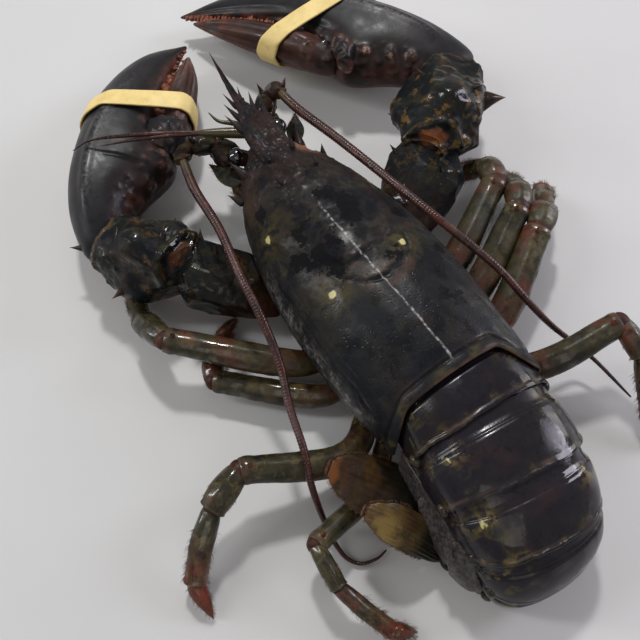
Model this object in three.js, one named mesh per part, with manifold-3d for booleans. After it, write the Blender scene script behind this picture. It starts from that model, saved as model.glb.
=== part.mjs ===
// A whole raw lobster with a rubber band on each claw, lying on its feet with the tail curled under.
// Millimetres, +Z up. The head points along +Y and the animal's right side is +X.
// The origin is on the resting plane, under the middle of the whole.

import * as THREE from 'three';
import { mergeVertices } from 'three/addons/utils/BufferGeometryUtils.js';
import Module from 'manifold-3d';

const wasm = await Module();
wasm.setup();

// ---------------------------------------------------------------- driving dimensions

const GAP = 0.35; // clearance between neighbouring pieces
const CARAPACE_LENGTH = 120; // rear margin to eye socket
const CARAPACE_HALF_WIDTH = 32.5;
const CARAPACE_EDGE_Z = 12.6; // height of the carapace's lower edge
const CARAPACE_AXIS_Z = 25;
const BACK_Z = 54; // top of the back
const BODY_X = 1.5; // the back's middle line
const ROSTRUM_LENGTH = 42;
const ROSTRUM_HALF_WIDTH = 7.5;
const ROSTRUM_SPINE = 5; // length of a side spine of the rostrum
const STERNUM_HALF_WIDTH = 14.5;
const TAIL_HALF_WIDTH = 27;
const FAN_THICKNESS = 1.9;
const CLAW_HALF_DEPTH = 17; // half the depth of the crusher claw
const CUTTER_HALF_DEPTH = 15.5;
const BAND_WIDTH = 9;
const BAND_THICKNESS = 1.3;
const BAND_SIDES = 22;
const LEG_HALF_WIDTH = 4.6;
const LEG_HALF_DEPTH = 5.2;
const EYE_RADIUS = 3.6;
const SPINE_SIDES = 5;
const SPINE_SPREAD = 2.5; // how far a rostrum spine's root is sunk sideways
const RING_MIDDLE = 0.42; // height of a tail ring's middle, from belly to back
const RING_JOINT = 0.02; // share of a tail ring left free at each end
const RING_FULLNESS = 0.12; // near 0 the ends of a tail ring are flat
const TINY = 1e-6;
const WELD = 1e-4; // points closer than this are one
const FLAGELLUM_RADIUS = 1.5;
const ANTENNULE_RADIUS = 1.2;

const FORWARD = new THREE.Vector3(0, 1, 0);
const UP = new THREE.Vector3(0, 0, 1);

// ---------------------------------------------------------------- materials

const coat = (color, roughness = 0.3) => new THREE.MeshStandardMaterial({ color, roughness, metalness: 0 });

const COLOURS = {
  shell: 0x24242a,
  belly: 0x6a5a4a,
  leg: 0x4a4630,
  fan: 0x6a5a28,
  finger: 0x3a1e1a,
  feeler: 0x3c1c1e,
  eye: 0x0c0c0e,
  band: 0xd0bc78,
};

// ---------------------------------------------------------------- shaping

// A smooth value along a piece, from a few values at given or even places from 0 to 1.
function profile(values) {
  const pairs = values.map((value, i) => (Array.isArray(value) ? value : [i / (values.length - 1), value]));
  const places = pairs.map(([place]) => place);
  const track = new THREE.CubicInterpolant(places, pairs.map(([, value]) => value), 1);
  return (place) => track.evaluate(place)[0];
}

// Shares of a size, alone or with their places.
const scaled = (shares, size) => shares.map((share) => (
  Array.isArray(share) ? [share[0], share[1] * size] : share * size
));

const vector = (point) => new THREE.Vector3(...point);
const route = (points) => new THREE.CatmullRomCurve3(points.map(vector), false, 'centripetal');
const power = (value, exponent) => Math.sign(value) * Math.abs(value) ** exponent;

// A closed piece of rounded section along a route. Its four half sizes are profiles: right and left
// as seen along the route with up on top. blunt and bluntEnd shape the two ends: 1 is round, a low
// value is square.
function shell({
  path, right, left = right, top, bottom = top, up = UP,
  rings = 10, sides = 12, blunt = 0.6, bluntEnd = blunt, square = 2, grow = 0,
}) {
  const curve = route(path);
  const sizes = [right, left, top, bottom].map(profile);
  const geometry = new THREE.SphereGeometry(1, sides, rings);
  const position = geometry.attributes.position;
  for (let i = 0; i < position.count; i += 1) {
    const ball = new THREE.Vector3().fromBufferAttribute(position, i);
    const place = THREE.MathUtils.clamp((1 - ball.y) / 2, 0, 1);
    const rim = Math.hypot(ball.x, ball.z);
    const fullness = rim > TINY ? rim ** (place < 0.5 ? blunt : bluntEnd) : 0;
    const across = rim > TINY ? power(-ball.x / rim, 2 / square) : 0;
    const rise = rim > TINY ? power(ball.z / rim, 2 / square) : 0;
    const along = curve.getTangentAt(place);
    const side = along.clone().cross(up).normalize();
    const crown = side.clone().cross(along).normalize();
    const [r, l, t, b] = sizes.map((size) => Math.max(size(place), 0.05) + grow);
    const point = curve.getPointAt(place)
      .addScaledVector(side, (across > 0 ? r : l) * across * fullness)
      .addScaledVector(crown, (rise > 0 ? t : b) * rise * fullness)
      .addScaledVector(along, grow * -ball.y);
    position.setXYZ(i, point.x, point.y, point.z);
  }
  return geometry;
}

// A sharp cone from its base to its tip.
function spine([base, tip, radius], grow = 0) {
  const from = vector(base);
  const run = vector(tip).sub(from);
  const height = run.length() + 2 * grow;
  const geometry = new THREE.ConeGeometry(radius + grow, height, SPINE_SIDES);
  geometry.translate(0, height / 2, 0);
  geometry.applyQuaternion(new THREE.Quaternion().setFromUnitVectors(FORWARD, run.normalize()));
  geometry.translate(...from.toArray());
  return geometry;
}

// ---------------------------------------------------------------- solids

function toSolid(geometry) {
  const bare = geometry.clone();
  bare.deleteAttribute('normal');
  bare.deleteAttribute('uv');
  const merged = mergeVertices(bare, WELD);
  return new wasm.Manifold(new wasm.Mesh({
    numProp: 3,
    vertProperties: new Float32Array(merged.attributes.position.array),
    triVerts: new Uint32Array(merged.index.array),
  }));
}

function fromSolid(solid) {
  const { vertProperties, triVerts } = solid.getMesh();
  const geometry = new THREE.BufferGeometry();
  geometry.setAttribute('position', new THREE.BufferAttribute(new Float32Array(vertProperties), 3));
  geometry.setIndex(new THREE.BufferAttribute(new Uint32Array(triVerts), 1));
  geometry.computeVertexNormals();
  return geometry;
}

const joined = (...pieces) => fromSolid(pieces.map(toSolid).reduce((whole, piece) => whole.add(piece)));
const largest = (solid) => solid.decompose().sort((one, other) => other.volume() - one.volume())[0];
const trimmed = (piece, ...tools) => fromSolid(largest(
  tools.map(toSolid).reduce((rest, tool) => rest.subtract(tool), toSolid(piece)),
));

const animal = new THREE.Group();

function place(name, geometry, color, roughness) {
  const mesh = new THREE.Mesh(geometry, coat(color, roughness));
  mesh.name = name;
  animal.add(mesh);
  return mesh;
}

// ---------------------------------------------------------------- carapace and rostrum

const carapaceShape = {
  path: [
    [BODY_X, -1, CARAPACE_AXIS_Z], [BODY_X, CARAPACE_LENGTH / 2, CARAPACE_AXIS_Z],
    [BODY_X, CARAPACE_LENGTH + 2, CARAPACE_AXIS_Z + 4],
  ],
  right: scaled([0.93, 1, 1, 0.95, 0.86, 0.7, 0.42], CARAPACE_HALF_WIDTH),
  top: scaled([0.93, 1, 1.01, 0.98, 0.88, 0.72, 0.5], BACK_Z - CARAPACE_AXIS_Z),
  bottom: scaled([1, 1, 1, 1, 1, 0.95, 0.8], CARAPACE_AXIS_Z - CARAPACE_EDGE_Z),
  rings: 14,
  sides: 20,
  blunt: 0.28,
  square: 2.25,
};

function rostrum() {
  return shell({
    path: [
      [BODY_X, CARAPACE_LENGTH - 8, BACK_Z - 12],
      [BODY_X + 1, CARAPACE_LENGTH + ROSTRUM_LENGTH * 0.35, BACK_Z - 8],
      [BODY_X + 3, CARAPACE_LENGTH + ROSTRUM_LENGTH, BACK_Z - 3],
    ],
    right: scaled([1, 0.8, 0.4, 0.2, 0.08], ROSTRUM_HALF_WIDTH),
    top: scaled([0.55, 0.45, 0.3, 0.2, 0.08], ROSTRUM_HALF_WIDTH),
    rings: 8,
    sides: 8,
    blunt: 0.8,
  });
}

// Three pairs of spines on the rostrum, and a stout pair beside the eyes.
const ROSTRUM_SPINES = [
  { y: 124, reach: 5.4, z: 45 },
  { y: 130, reach: 3.8, z: 46 },
  { y: 136, reach: 2.4, z: 47 },
];
const rostrumSpines = [-1, 1].flatMap((side) => [
  ...ROSTRUM_SPINES.map(({ y, reach, z }) => [
    [BODY_X + side * (reach - SPINE_SPREAD), y - 1, z],
    [BODY_X + side * (reach + ROSTRUM_SPINE * 0.5), y + ROSTRUM_SPINE, z + 1],
    2,
  ]),
  [[BODY_X + side * 12, 112, 37], [BODY_X + side * 15.5, 119.5, 40], 2.6],
]);

const headSpines = rostrumSpines.map((shape) => spine(shape));
place('carapace', joined(shell(carapaceShape), rostrum(), ...headSpines), COLOURS.shell);
const carapaceRoom = shell({ ...carapaceShape, grow: GAP });

place('sternum', shell({
  path: [[BODY_X, 0, 6.3], [BODY_X, 50, 6.3], [BODY_X, 104, 6.6]],
  right: scaled([0.75, 1, 1, 0.9, 0.6], STERNUM_HALF_WIDTH),
  top: [5.8, 5.9, 5.9, 5.7, 5],
  bottom: [6.3, 6.3, 6.3, 6.3, 5.5],
  rings: 8,
  sides: 12,
  blunt: 0.3,
  square: 3.5,
}), COLOURS.belly, 0.5);

// ---------------------------------------------------------------- abdomen

// The tail bends down and forward under the body. Its back and its belly are two curves,
// from the rear of the carapace to the root of the fan.
const tailBack = route([
  [1.5, 4, 49], [1.2, -16, 48.5], [-1.5, -40, 46], [-4.5, -61, 36],
  [-6.5, -71.5, 18], [-8.5, -66, 0.5], [-12, -44, 0.5],
]);
const tailBelly = route([
  [1.5, 4, 16], [1.2, -14, 15], [-1, -28, 14.5], [-3.5, -40, 15],
  [-6, -48, 14.5], [-9, -48, 11], [-13, -40, 8.5],
]);
const SOMITES = 6;
const tailWidth = profile(scaled([0.93, 1, 1, 0.92, 0.82, 0.7, 0.55], TAIL_HALF_WIDTH));

// One ring of the tail between two places along it. Its side plates reach below its belly.
function somite(index) {
  const start = index / SOMITES;
  const end = (index + 1) / SOMITES;
  const geometry = new THREE.SphereGeometry(1, 16, 6);
  const position = geometry.attributes.position;
  for (let i = 0; i < position.count; i += 1) {
    const ball = new THREE.Vector3().fromBufferAttribute(position, i);
    const rim = Math.hypot(ball.x, ball.z);
    const fullness = rim > TINY ? rim ** RING_FULLNESS : 0;
    const angle = Math.atan2(ball.z, -ball.x);
    const at = THREE.MathUtils.lerp(start, end, RING_JOINT + (1 - 2 * RING_JOINT) * (1 - ball.y) / 2);
    const back = tailBack.getPoint(at);
    const belly = tailBelly.getPoint(at);
    const middle = belly.clone().lerp(back, RING_MIDDLE);
    const along = tailBack.getTangent(at);
    const crown = back.clone().sub(middle);
    const root = belly.clone().sub(middle);
    const side = along.clone().cross(crown).normalize();
    const across = power(Math.cos(angle), 0.85) * fullness * tailWidth(at);
    const rise = power(Math.sin(angle), 0.9) * fullness;
    const point = middle.addScaledVector(side, across);
    point.addScaledVector(rise > 0 ? crown : root, Math.abs(rise));
    position.setXYZ(i, point.x, point.y, Math.max(point.z, 0));
  }
  return geometry;
}

for (let i = 0; i < SOMITES; i += 1) {
  place(`abdomen_${i + 1}`, trimmed(somite(i), carapaceRoom), COLOURS.shell);
}

// ---------------------------------------------------------------- tail fan

// The fan lies back down under the body, spread forward and to the left.
function blade({ root, tip, halfWidth, lift = 0, bend = 0 }, grow = 0) {
  const middle = vector(root).lerp(vector(tip), 0.5);
  middle.z += lift;
  const tilt = new THREE.Vector3(bend, 0, 1);
  return shell({
    path: [root, middle.toArray(), tip],
    right: scaled([0.3, 0.72, 0.95, 1, 0.86], halfWidth),
    top: scaled([0.8, 0.6, 0.5, 0.4, 0.3], FAN_THICKNESS),
    up: tilt,
    grow,
    rings: 7,
    sides: 8,
    blunt: 0.45,
  });
}

const FAN = {
  telson: { root: [-14, -38, 6.6], tip: [-16, -3, 7.6], halfWidth: 10 },
  uropod_left_inner: { root: [-19, -38, 5.6], tip: [-48, 3, 23], halfWidth: 11.5, lift: 2, bend: 0.1 },
  uropod_left_outer: { root: [-29, -43, 5], tip: [-47, -16, 24], halfWidth: 8.5, lift: 6, bend: -0.1 },
  uropod_right_inner: { root: [-6, -40, 4.2], tip: [3, -5, 4.8], halfWidth: 9.5 },
  uropod_right_outer: { root: [0, -42, 1.7], tip: [17, -10, 2], halfWidth: 8 },
};
const innerRoom = blade(FAN.uropod_left_inner, GAP);
const telsonRoom = blade(FAN.telson, GAP);
for (const [name, shape] of Object.entries(FAN)) {
  const whole = blade(shape);
  const tools = { uropod_left_inner: [telsonRoom], uropod_left_outer: [innerRoom] }[name];
  place(name, tools ? trimmed(whole, ...tools) : whole, COLOURS.fan, 0.35);
}

// ---------------------------------------------------------------- claws

// The crusher, on the left. Its outer side is the left one.
const crusherPalm = {
  path: [[-72, 124, 19], [-61, 145, 18.5], [-47, 163, 18], [-28, 180, 18], [-7, 196, 17], [13, 204.5, 14]],
  left: [[0, 9], [0.18, 13], [0.4, 15], [0.6, 16], [0.82, 11], [1, 2]],
  right: [[0, 10], [0.2, 18], [0.38, 28], [0.5, 20], [0.6, 14], [0.82, 10.3], [1, 2]],
  top: scaled([[0, 0.6], [0.2, 0.95], [0.4, 1], [0.6, 0.85], [0.85, 0.5], [1, 0.15]], CLAW_HALF_DEPTH),
  rings: 15,
  sides: 14,
  blunt: 0.26,
  bluntEnd: 0.6,
};
const crusherFinger = {
  path: [[-24, 149, 20], [-11, 164.5, 20], [0.5, 180, 18.5], [10, 197, 15]],
  left: [8, 8, 7.6, 2.4],
  right: [5, 4.2, 4, 1.8],
  top: [10, 11, 8, 2.5],
  rings: 10,
  sides: 10,
  blunt: 0.35,
  bluntEnd: 0.6,
};

// The cutter, on the right. Its outer side is the right one.
const cutterPalm = {
  path: [[99, 114, 22], [91, 139, 21], [77, 164, 19], [56, 192, 17], [38, 212, 14], [22, 226, 10]],
  right: [[0, 19], [0.06, 18], [0.2, 16.6], [0.4, 17.2], [0.62, 17.6], [0.83, 12], [1, 2]],
  left: [[0, 11], [0.18, 20], [0.36, 27], [0.46, 19], [0.62, 10], [0.83, 6.5], [1, 1.5]],
  top: scaled(
    [[0, 0.65], [0.2, 0.95], [0.4, 1], [0.62, 0.8], [0.85, 0.45], [1, 0.12]],
    CUTTER_HALF_DEPTH,
  ),
  rings: 15,
  sides: 14,
  blunt: 0.26,
  bluntEnd: 0.6,
};
const cutterFinger = {
  path: [[59, 149, 22], [52, 165, 21.5], [43, 184, 19], [34, 201, 16], [24, 217, 12]],
  left: [7, 7.5, 7, 6, 1.5],
  right: [7, 8, 6, 4, 1.5],
  top: [9, 9.5, 8, 5.5, 2],
  rings: 12,
  sides: 10,
  blunt: 0.35,
  bluntEnd: 0.6,
};

// A rubber band: a flat loop round both fingers, square to a given direction.
function loop({ middle, along, halfWidth, halfDepth }) {
  const outline = (grow) => Array.from({ length: BAND_SIDES }, (_, i) => {
    const angle = (i / BAND_SIDES) * Math.PI * 2;
    return new THREE.Vector2(
      power(Math.cos(angle), 0.8) * (halfWidth + grow),
      power(Math.sin(angle), 0.8) * (halfDepth + grow),
    );
  });
  const ring = new THREE.Shape(outline(BAND_THICKNESS));
  ring.holes.push(new THREE.Path(outline(0)));
  const geometry = new THREE.ExtrudeGeometry(ring, { depth: BAND_WIDTH, bevelEnabled: false });
  geometry.translate(0, 0, -BAND_WIDTH / 2);
  const axis = vector(along).normalize();
  const across = axis.clone().cross(UP).normalize();
  const frame = new THREE.Matrix4().makeBasis(across, axis.clone().cross(across).negate(), axis.negate());
  frame.setPosition(vector(middle));
  return geometry.applyMatrix4(frame);
}

const crusherBand = { middle: [-26, 173.5, 19.2], along: [0.54, 0.84, 0], halfWidth: 27, halfDepth: 17.6 };
const cutterBand = { middle: [65.8, 174.4, 18.8], along: [0.02, 1, 0], halfWidth: 29.3, halfDepth: 15.8 };

// The knobbly boss over each hinge, and the spines on each heel.
const BOSSES = {
  left: { middle: [-23, 156, 24.5], turn: -0.42, sizes: [9.5, 8.5, 8.5] },
  right: { middle: [62.5, 150, 25], turn: 1.25, sizes: [8.5, 4.6, 8] },
};
const HEEL_SPINES = {
  left: [[[-70, 127, 19.5], [-80.3, 134, 19.5], 3.6], [[-71, 124, 23], [-76, 119, 27.5], 2.6]],
  right: [[[99, 118, 23], [107.5, 118, 26.5], 3], [[98, 116, 18.5], [106, 110.5, 16.5], 2.6]],
};

function boss({ middle, turn, sizes }) {
  const lump = new THREE.SphereGeometry(1, 8, 5);
  lump.scale(...sizes);
  lump.rotateZ(turn);
  return lump.translate(...middle);
}

const CLAWS = [
  ['left', crusherPalm, crusherFinger, crusherBand],
  ['right', cutterPalm, cutterFinger, cutterBand],
];
for (const [side, palm, finger, band] of CLAWS) {
  const heel = HEEL_SPINES[side].map((shape) => spine(shape));
  const palmWhole = joined(shell(palm), boss(BOSSES[side]), ...heel);
  place(`palm_${side}`, trimmed(palmWhole, shell({ ...finger, grow: GAP })), COLOURS.shell);
  place(`finger_${side}`, shell(finger), COLOURS.finger);
  place(`band_${side}`, loop(band), COLOURS.band, 0.7);
}

// ---------------------------------------------------------------- claw arms

const leftWrist = {
  path: [[-41, 94, 22], [-57, 107, 23.5], [-70, 126, 21]],
  right: [13, 17, 17.5, 17, 13],
  left: [9, 12.5, 14.5, 14, 10],
  top: [10, 13.5, 15, 14, 12],
  rings: 10,
  sides: 12,
  blunt: 0.26,
  square: 2.3,
};
const rightWrist = {
  path: [[57, 84, 22.5], [76, 97, 25], [100, 123, 24]],
  right: [11, 15.5, 18, 17, 14],
  left: [[0, 15], [0.25, 19], [0.5, 21], [0.68, 19], [0.84, 13], [1, 10]],
  top: [10, 14, 16, 14, 12],
  rings: 10,
  sides: 12,
  blunt: 0.26,
  square: 2.3,
};
const leftArm = {
  path: [[-19, 66, 7], [-32, 81, 16], [-47, 98, 22.5]],
  right: [4.5, 10.5, 14, 15, 12.5],
  top: [4.5, 7.5, 10, 12, 11],
  rings: 10,
  sides: 12,
  blunt: 0.3,
};
const rightArm = {
  path: [[22, 62, 7], [37, 71, 14], [62, 87, 22]],
  right: [4.5, 9.5, 14, 17, 16],
  left: [4.5, 10, 14.5, 17, 16],
  top: [4.5, 7.5, 10, 12, 11],
  rings: 10,
  sides: 12,
  blunt: 0.3,
};
const WRIST_SPINES = {
  left: [
    [[-66, 107, 18.5], [-77.5, 105.5, 17.5], 4],
    [[-48, 109, 28], [-41, 115.5, 31], 3.6],
    [[-69, 119.5, 22], [-77, 122, 22], 3],
    [[-52, 101, 22], [-58, 93.5, 22], 3],
    [[-52, 106, 33], [-48, 110, 38], 2.6],
  ],
  right: [
    [[90, 97, 27.5], [102, 89.5, 30], 6],
    [[98, 107, 25], [106.5, 110.5, 27], 3.2],
    [[66, 104, 24], [59, 114, 25], 4],
    [[87, 99, 33], [93, 95, 38], 2.6],
    [[69, 87, 23], [75, 81, 23], 2.6],
  ],
};
const ARMS = [
  ['left', leftArm, leftWrist, crusherPalm],
  ['right', rightArm, rightWrist, cutterPalm],
];
for (const [side, arm, wrist, palm] of ARMS) {
  const wristWhole = joined(shell(wrist), ...WRIST_SPINES[side].map((shape) => spine(shape)));
  const heelRoom = HEEL_SPINES[side].map((shape) => spine(shape, GAP));
  const palmRoom = shell({ ...palm, grow: GAP });
  place(`wrist_${side}`, trimmed(wristWhole, palmRoom, ...heelRoom), COLOURS.shell);
  const wristRoom = shell({ ...wrist, grow: GAP });
  place(`arm_${side}`, trimmed(shell(arm), wristRoom, carapaceRoom), COLOURS.shell);
}

// ---------------------------------------------------------------- walking legs

// Each leg: hip, where it leaves the body, knee, ankle, a bend of the last piece, and toe.
const LEGS = {
  leg_left_2: [[-17, 44, 7], [-31, 43, 14], [-70, 77, 22], [-72, 93, 13], [-69, 108, 5], [-62, 122, 1.6]],
  leg_left_3: [[-17, 32, 7], [-30, 30, 8], [-62, 58, 9.5], [-57, 67, 6], [-48, 74, 3.6], [-39, 79, 1.6]],
  leg_left_4: [[-17, 20, 7], [-38, 5, 14], [-74, 19, 24], [-88, 14, 20], [-105, 1, 8], [-106, -13, 1.6]],
  leg_left_5: [[-17, 8, 7], [-38, -8, 9], [-66, -15, 18], [-67, -30, 15], [-60, -50, 6], [-52, -55, 1.6]],
  leg_right_2: [[20, 44, 7], [37, 44, 12], [76, 63, 22], [81, 73, 17], [73, 82, 7], [64, 92, 1.8]],
  leg_right_3: [[20, 32, 7], [37, 30, 12], [74, 47, 24], [82, 56, 20], [88, 66, 9], [87, 80, 1.6]],
  leg_right_4: [[20, 20, 7], [38, 16, 12], [74, 35, 24], [84, 42, 20], [95, 52, 12], [100, 60, 1.6]],
  leg_right_5: [[20, 8, 7], [38, -8, 18], [68, -14, 29], [68, -27, 24], [62, -44, 9], [60, -54, 1.6]],
};

for (const [name, [hip, exit, knee, ankle, bend, toe]] of Object.entries(LEGS)) {
  const thigh = {
    path: [hip, exit, knee],
    right: scaled([0.9, 1, 1.05, 1, 0.85], LEG_HALF_WIDTH),
    top: scaled([0.8, 0.9, 1, 1, 0.8], LEG_HALF_DEPTH),
    rings: 7,
    sides: 8,
    blunt: 0.3,
  };
  const shin = {
    path: [knee, ankle],
    right: scaled([0.9, 1.05, 0.85], LEG_HALF_WIDTH),
    top: scaled([0.9, 1.05, 0.85], LEG_HALF_WIDTH),
    rings: 5,
    sides: 8,
    blunt: 0.3,
  };
  const foot = {
    path: [ankle, bend, toe],
    right: scaled([0.8, 0.85, 0.7, 0.5, 0.2], LEG_HALF_WIDTH),
    top: scaled([0.8, 0.9, 0.75, 0.5, 0.2], LEG_HALF_WIDTH),
    rings: 6,
    sides: 7,
    blunt: 0.3,
    bluntEnd: 0.6,
  };
  place(`${name}_thigh`, trimmed(shell(thigh), carapaceRoom), COLOURS.leg, 0.4);
  place(`${name}_shin`, trimmed(shell(shin), shell({ ...thigh, grow: GAP })), COLOURS.leg, 0.4);
  place(`${name}_foot`, trimmed(shell(foot), shell({ ...shin, grow: GAP })), COLOURS.leg, 0.4);
}

// ---------------------------------------------------------------- head pieces

const tube = (points, radii, sides, rings) => shell({
  path: points, right: radii, top: radii, sides, rings, blunt: 0.4,
});

for (const [side, middle] of [['left', [-9, 123.5, 35]], ['right', [13.5, 127, 35]]]) {
  const eye = new THREE.SphereGeometry(EYE_RADIUS, 8, 6);
  eye.translate(...middle);
  place(`eye_${side}`, trimmed(eye, carapaceRoom), COLOURS.eye, 0.1);
}

const FEELER_ROOTS = {
  left: [[-7, 127, 27], [-12, 138, 30], [-22, 141, 30]],
  right: [[11, 129, 27], [15.5, 140, 32], [21, 142, 36]],
};
const FLAGELLA = {
  left: [
    [-25, 138, 30.5], [-30, 119, 36], [-33, 95, 41], [-37.8, 72.4, 44], [-40.2, 55, 41],
    [-43.3, 39.3, 36], [-48.5, 26, 33], [-53, 10.5, 31.5], [-56.7, 1, 27], [-57.6, -4.4, 18],
    [-57.8, -10, 7.5], [-58.2, -16.3, 3], [-57.5, -22, 1.7], [-54.8, -26, 1.7], [-49, -28, 1.7],
    [-44.5, -27.5, 1.7],
  ],
  right: [
    [22.5, 140, 38], [21.5, 127, 41.5], [24.6, 100, 45.5], [27.7, 67, 50], [31, 47.5, 50],
    [38.4, 22.3, 44], [42, 10, 37], [49, 0, 25], [56.9, -9, 14.5], [59.6, -17, 12], [63, -35, 7],
  ],
};
const ANTENNULES = {
  left: [
    [-3, 131, 37], [-14, 137.5, 39], [-30, 146.7, 40.5],
    [-44, 155, 40], [-53, 160.3, 38.5], [-60, 161.5, 36],
  ],
  right: [[3, 132.5, 36], [-1, 136.5, 37], [-6, 140.5, 38], [-7.5, 145, 39.5]],
};
for (const side of ['left', 'right']) {
  place(`feeler_root_${side}`, tube(FEELER_ROOTS[side], [5.5, 5, 4.2, 2.6], 7, 6), COLOURS.shell, 0.4);
  const length = FLAGELLA[side].length;
  place(`feeler_${side}`, tube(
    FLAGELLA[side],
    scaled([1.25, 1.1, 1, 0.8, 0.6], FLAGELLUM_RADIUS),
    6,
    Math.round(length * 1.25),
  ), COLOURS.feeler, 0.4);
  place(`antennule_${side}`, tube(
    ANTENNULES[side],
    scaled([1.5, 1.1, 0.9, 0.6, 0.35], ANTENNULE_RADIUS),
    5,
    8,
  ), COLOURS.feeler, 0.4);
}

// The flat scale beside each feeler root, and the mouth legs folded under the head.
const SCALES = {
  left: { root: [-14, 119, 27.5], tip: [-17.5, 133, 25.5], halfWidth: 3.6 },
  right: { root: [18, 122, 30], tip: [25.2, 132.5, 30], halfWidth: 3.2 },
};
const MOUTH_LEGS = {
  left: [[-6, 108, 7], [-8, 122, 9], [-7, 134, 15]],
  right: [[9, 108, 7], [11, 122, 9], [10, 135, 15]],
};
for (const side of ['left', 'right']) {
  place(`scale_${side}`, trimmed(blade(SCALES[side]), carapaceRoom), COLOURS.shell, 0.4);
  place(`mouth_leg_${side}`, tube(MOUTH_LEGS[side], [3.5, 4, 3.6, 2], 7, 6), COLOURS.leg, 0.4);
}

// ---------------------------------------------------------------- origin

const bounds = new THREE.Box3().setFromObject(animal);
const centre = bounds.getCenter(new THREE.Vector3());
animal.position.set(-centre.x, -centre.y, -bounds.min.z);
animal.updateMatrixWorld(true);

export default animal;
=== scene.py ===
# %% [markdown]
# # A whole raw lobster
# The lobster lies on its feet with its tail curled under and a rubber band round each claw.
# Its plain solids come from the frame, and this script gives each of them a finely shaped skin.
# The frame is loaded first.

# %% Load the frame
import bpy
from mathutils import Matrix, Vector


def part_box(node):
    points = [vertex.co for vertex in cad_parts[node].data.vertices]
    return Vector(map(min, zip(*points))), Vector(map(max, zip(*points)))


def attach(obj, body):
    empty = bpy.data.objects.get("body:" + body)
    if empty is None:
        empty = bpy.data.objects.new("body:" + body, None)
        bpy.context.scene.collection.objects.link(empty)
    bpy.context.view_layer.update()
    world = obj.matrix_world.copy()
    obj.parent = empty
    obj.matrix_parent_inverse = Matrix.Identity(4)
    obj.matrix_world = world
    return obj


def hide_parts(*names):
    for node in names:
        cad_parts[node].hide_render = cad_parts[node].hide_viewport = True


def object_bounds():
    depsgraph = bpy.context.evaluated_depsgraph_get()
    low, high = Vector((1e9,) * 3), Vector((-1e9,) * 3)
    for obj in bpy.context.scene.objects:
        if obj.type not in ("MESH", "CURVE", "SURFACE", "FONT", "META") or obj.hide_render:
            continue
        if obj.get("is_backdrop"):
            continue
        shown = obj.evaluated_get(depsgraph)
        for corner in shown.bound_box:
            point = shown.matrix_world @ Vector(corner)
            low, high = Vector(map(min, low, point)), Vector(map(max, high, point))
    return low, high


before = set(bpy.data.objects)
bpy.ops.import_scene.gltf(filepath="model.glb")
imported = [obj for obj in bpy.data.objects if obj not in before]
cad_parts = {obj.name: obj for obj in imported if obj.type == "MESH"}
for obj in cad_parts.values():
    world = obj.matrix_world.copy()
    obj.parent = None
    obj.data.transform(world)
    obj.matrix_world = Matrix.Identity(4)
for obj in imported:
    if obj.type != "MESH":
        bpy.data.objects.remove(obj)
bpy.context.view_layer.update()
print("solids in the frame:", len(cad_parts))

# %% [markdown]
# ## Millimetres along the body
# A lobster is easiest to describe in its own axes: y runs from the rear edge of the carapace to the
# head, x to the animal's right, z up, all in millimetres. The belly plate starts at the rear edge
# and lies under the middle line, so its box gives the body's origin in the frame.

# %% The body's origin
import itertools
import math

import bpy
import numpy as np
from mathutils import Vector

MM = 0.001
BODY_X = 1.5  # the middle line of the back
belly_low, belly_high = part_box("sternum")
ORIGIN = np.array([(belly_low.x + belly_high.x) / 2 - BODY_X * MM, belly_low.y, 0.0])
FINE = 1.0  # a coarser grid while trying things


def in_frame(points):
    """Body millimetres to frame metres."""
    return np.asarray(points, float) * MM + ORIGIN


print("the body's origin lies at", ORIGIN.round(4), "in the frame")

# %% [markdown]
# ## Smooth lines and smooth sizes
# Every limb follows a smooth line through a few points, and its width changes smoothly along it.
# A Bezier curve object could do it, but then nothing could be measured on the way. Here a
# Catmull-Rom line with even tension is worked out in numpy, and a size is a cubic through a few
# values.


# %% Lines and sizes
def hermite(start, end, slope_start, slope_end, t):
    """A cubic from start to end with the given slopes, at t from 0 to 1."""
    return (
        (2 * t**3 - 3 * t**2 + 1) * start
        + (t**3 - 2 * t**2 + t) * slope_start
        + (3 * t**2 - 2 * t**3) * end
        + (t**3 - t**2) * slope_end
    )


class Route:
    """A smooth line through points, which can be read at a share of its length."""

    def __init__(self, points, steps=60):
        p = np.array(points, float)
        p = np.vstack([2 * p[:1] - p[1:2], p, 2 * p[-1:] - p[-2:-1]])
        gap = np.sqrt(np.linalg.norm(np.diff(p, axis=0), axis=1))
        t = np.linspace(0, 1, steps, endpoint=False)[:, None]
        pieces, places = [], []
        for i in range(1, len(p) - 2):
            before, here, after = gap[i - 1], gap[i], gap[i + 1]
            step = (p[i + 1] - p[i]) / here
            start = (p[i] - p[i - 1]) / before - (p[i + 1] - p[i - 1]) / (before + here) + step
            end = step - (p[i + 2] - p[i]) / (here + after) + (p[i + 2] - p[i + 1]) / after
            pieces.append(hermite(p[i], p[i + 1], start * here, end * here, t))
            places.append(t[:, 0] + i - 1)
        self.points = np.vstack([*pieces, p[-2:-1]])
        self.knots = np.append(np.concatenate(places), len(p) - 3) / (len(p) - 3)
        run = np.linalg.norm(np.diff(self.points, axis=0), axis=1)
        self.reach = np.append(0, np.cumsum(run))
        self.length = self.reach[-1]
        self.ways = np.gradient(self.points, self.reach, axis=0)

    def read(self, place, by_knot=False):
        """Points and unit directions at shares of the length, or of the count of points."""
        scale = self.knots if by_knot else self.reach / self.length
        point = np.stack([np.interp(place, scale, self.points[:, k]) for k in range(3)], -1)
        way = np.stack([np.interp(place, scale, self.ways[:, k]) for k in range(3)], -1)
        return point, unit(way)


def unit(v):
    """Vectors of length 1 in the same directions."""
    return v / np.maximum(np.linalg.norm(v, axis=-1, keepdims=True), 1e-9)


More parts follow.
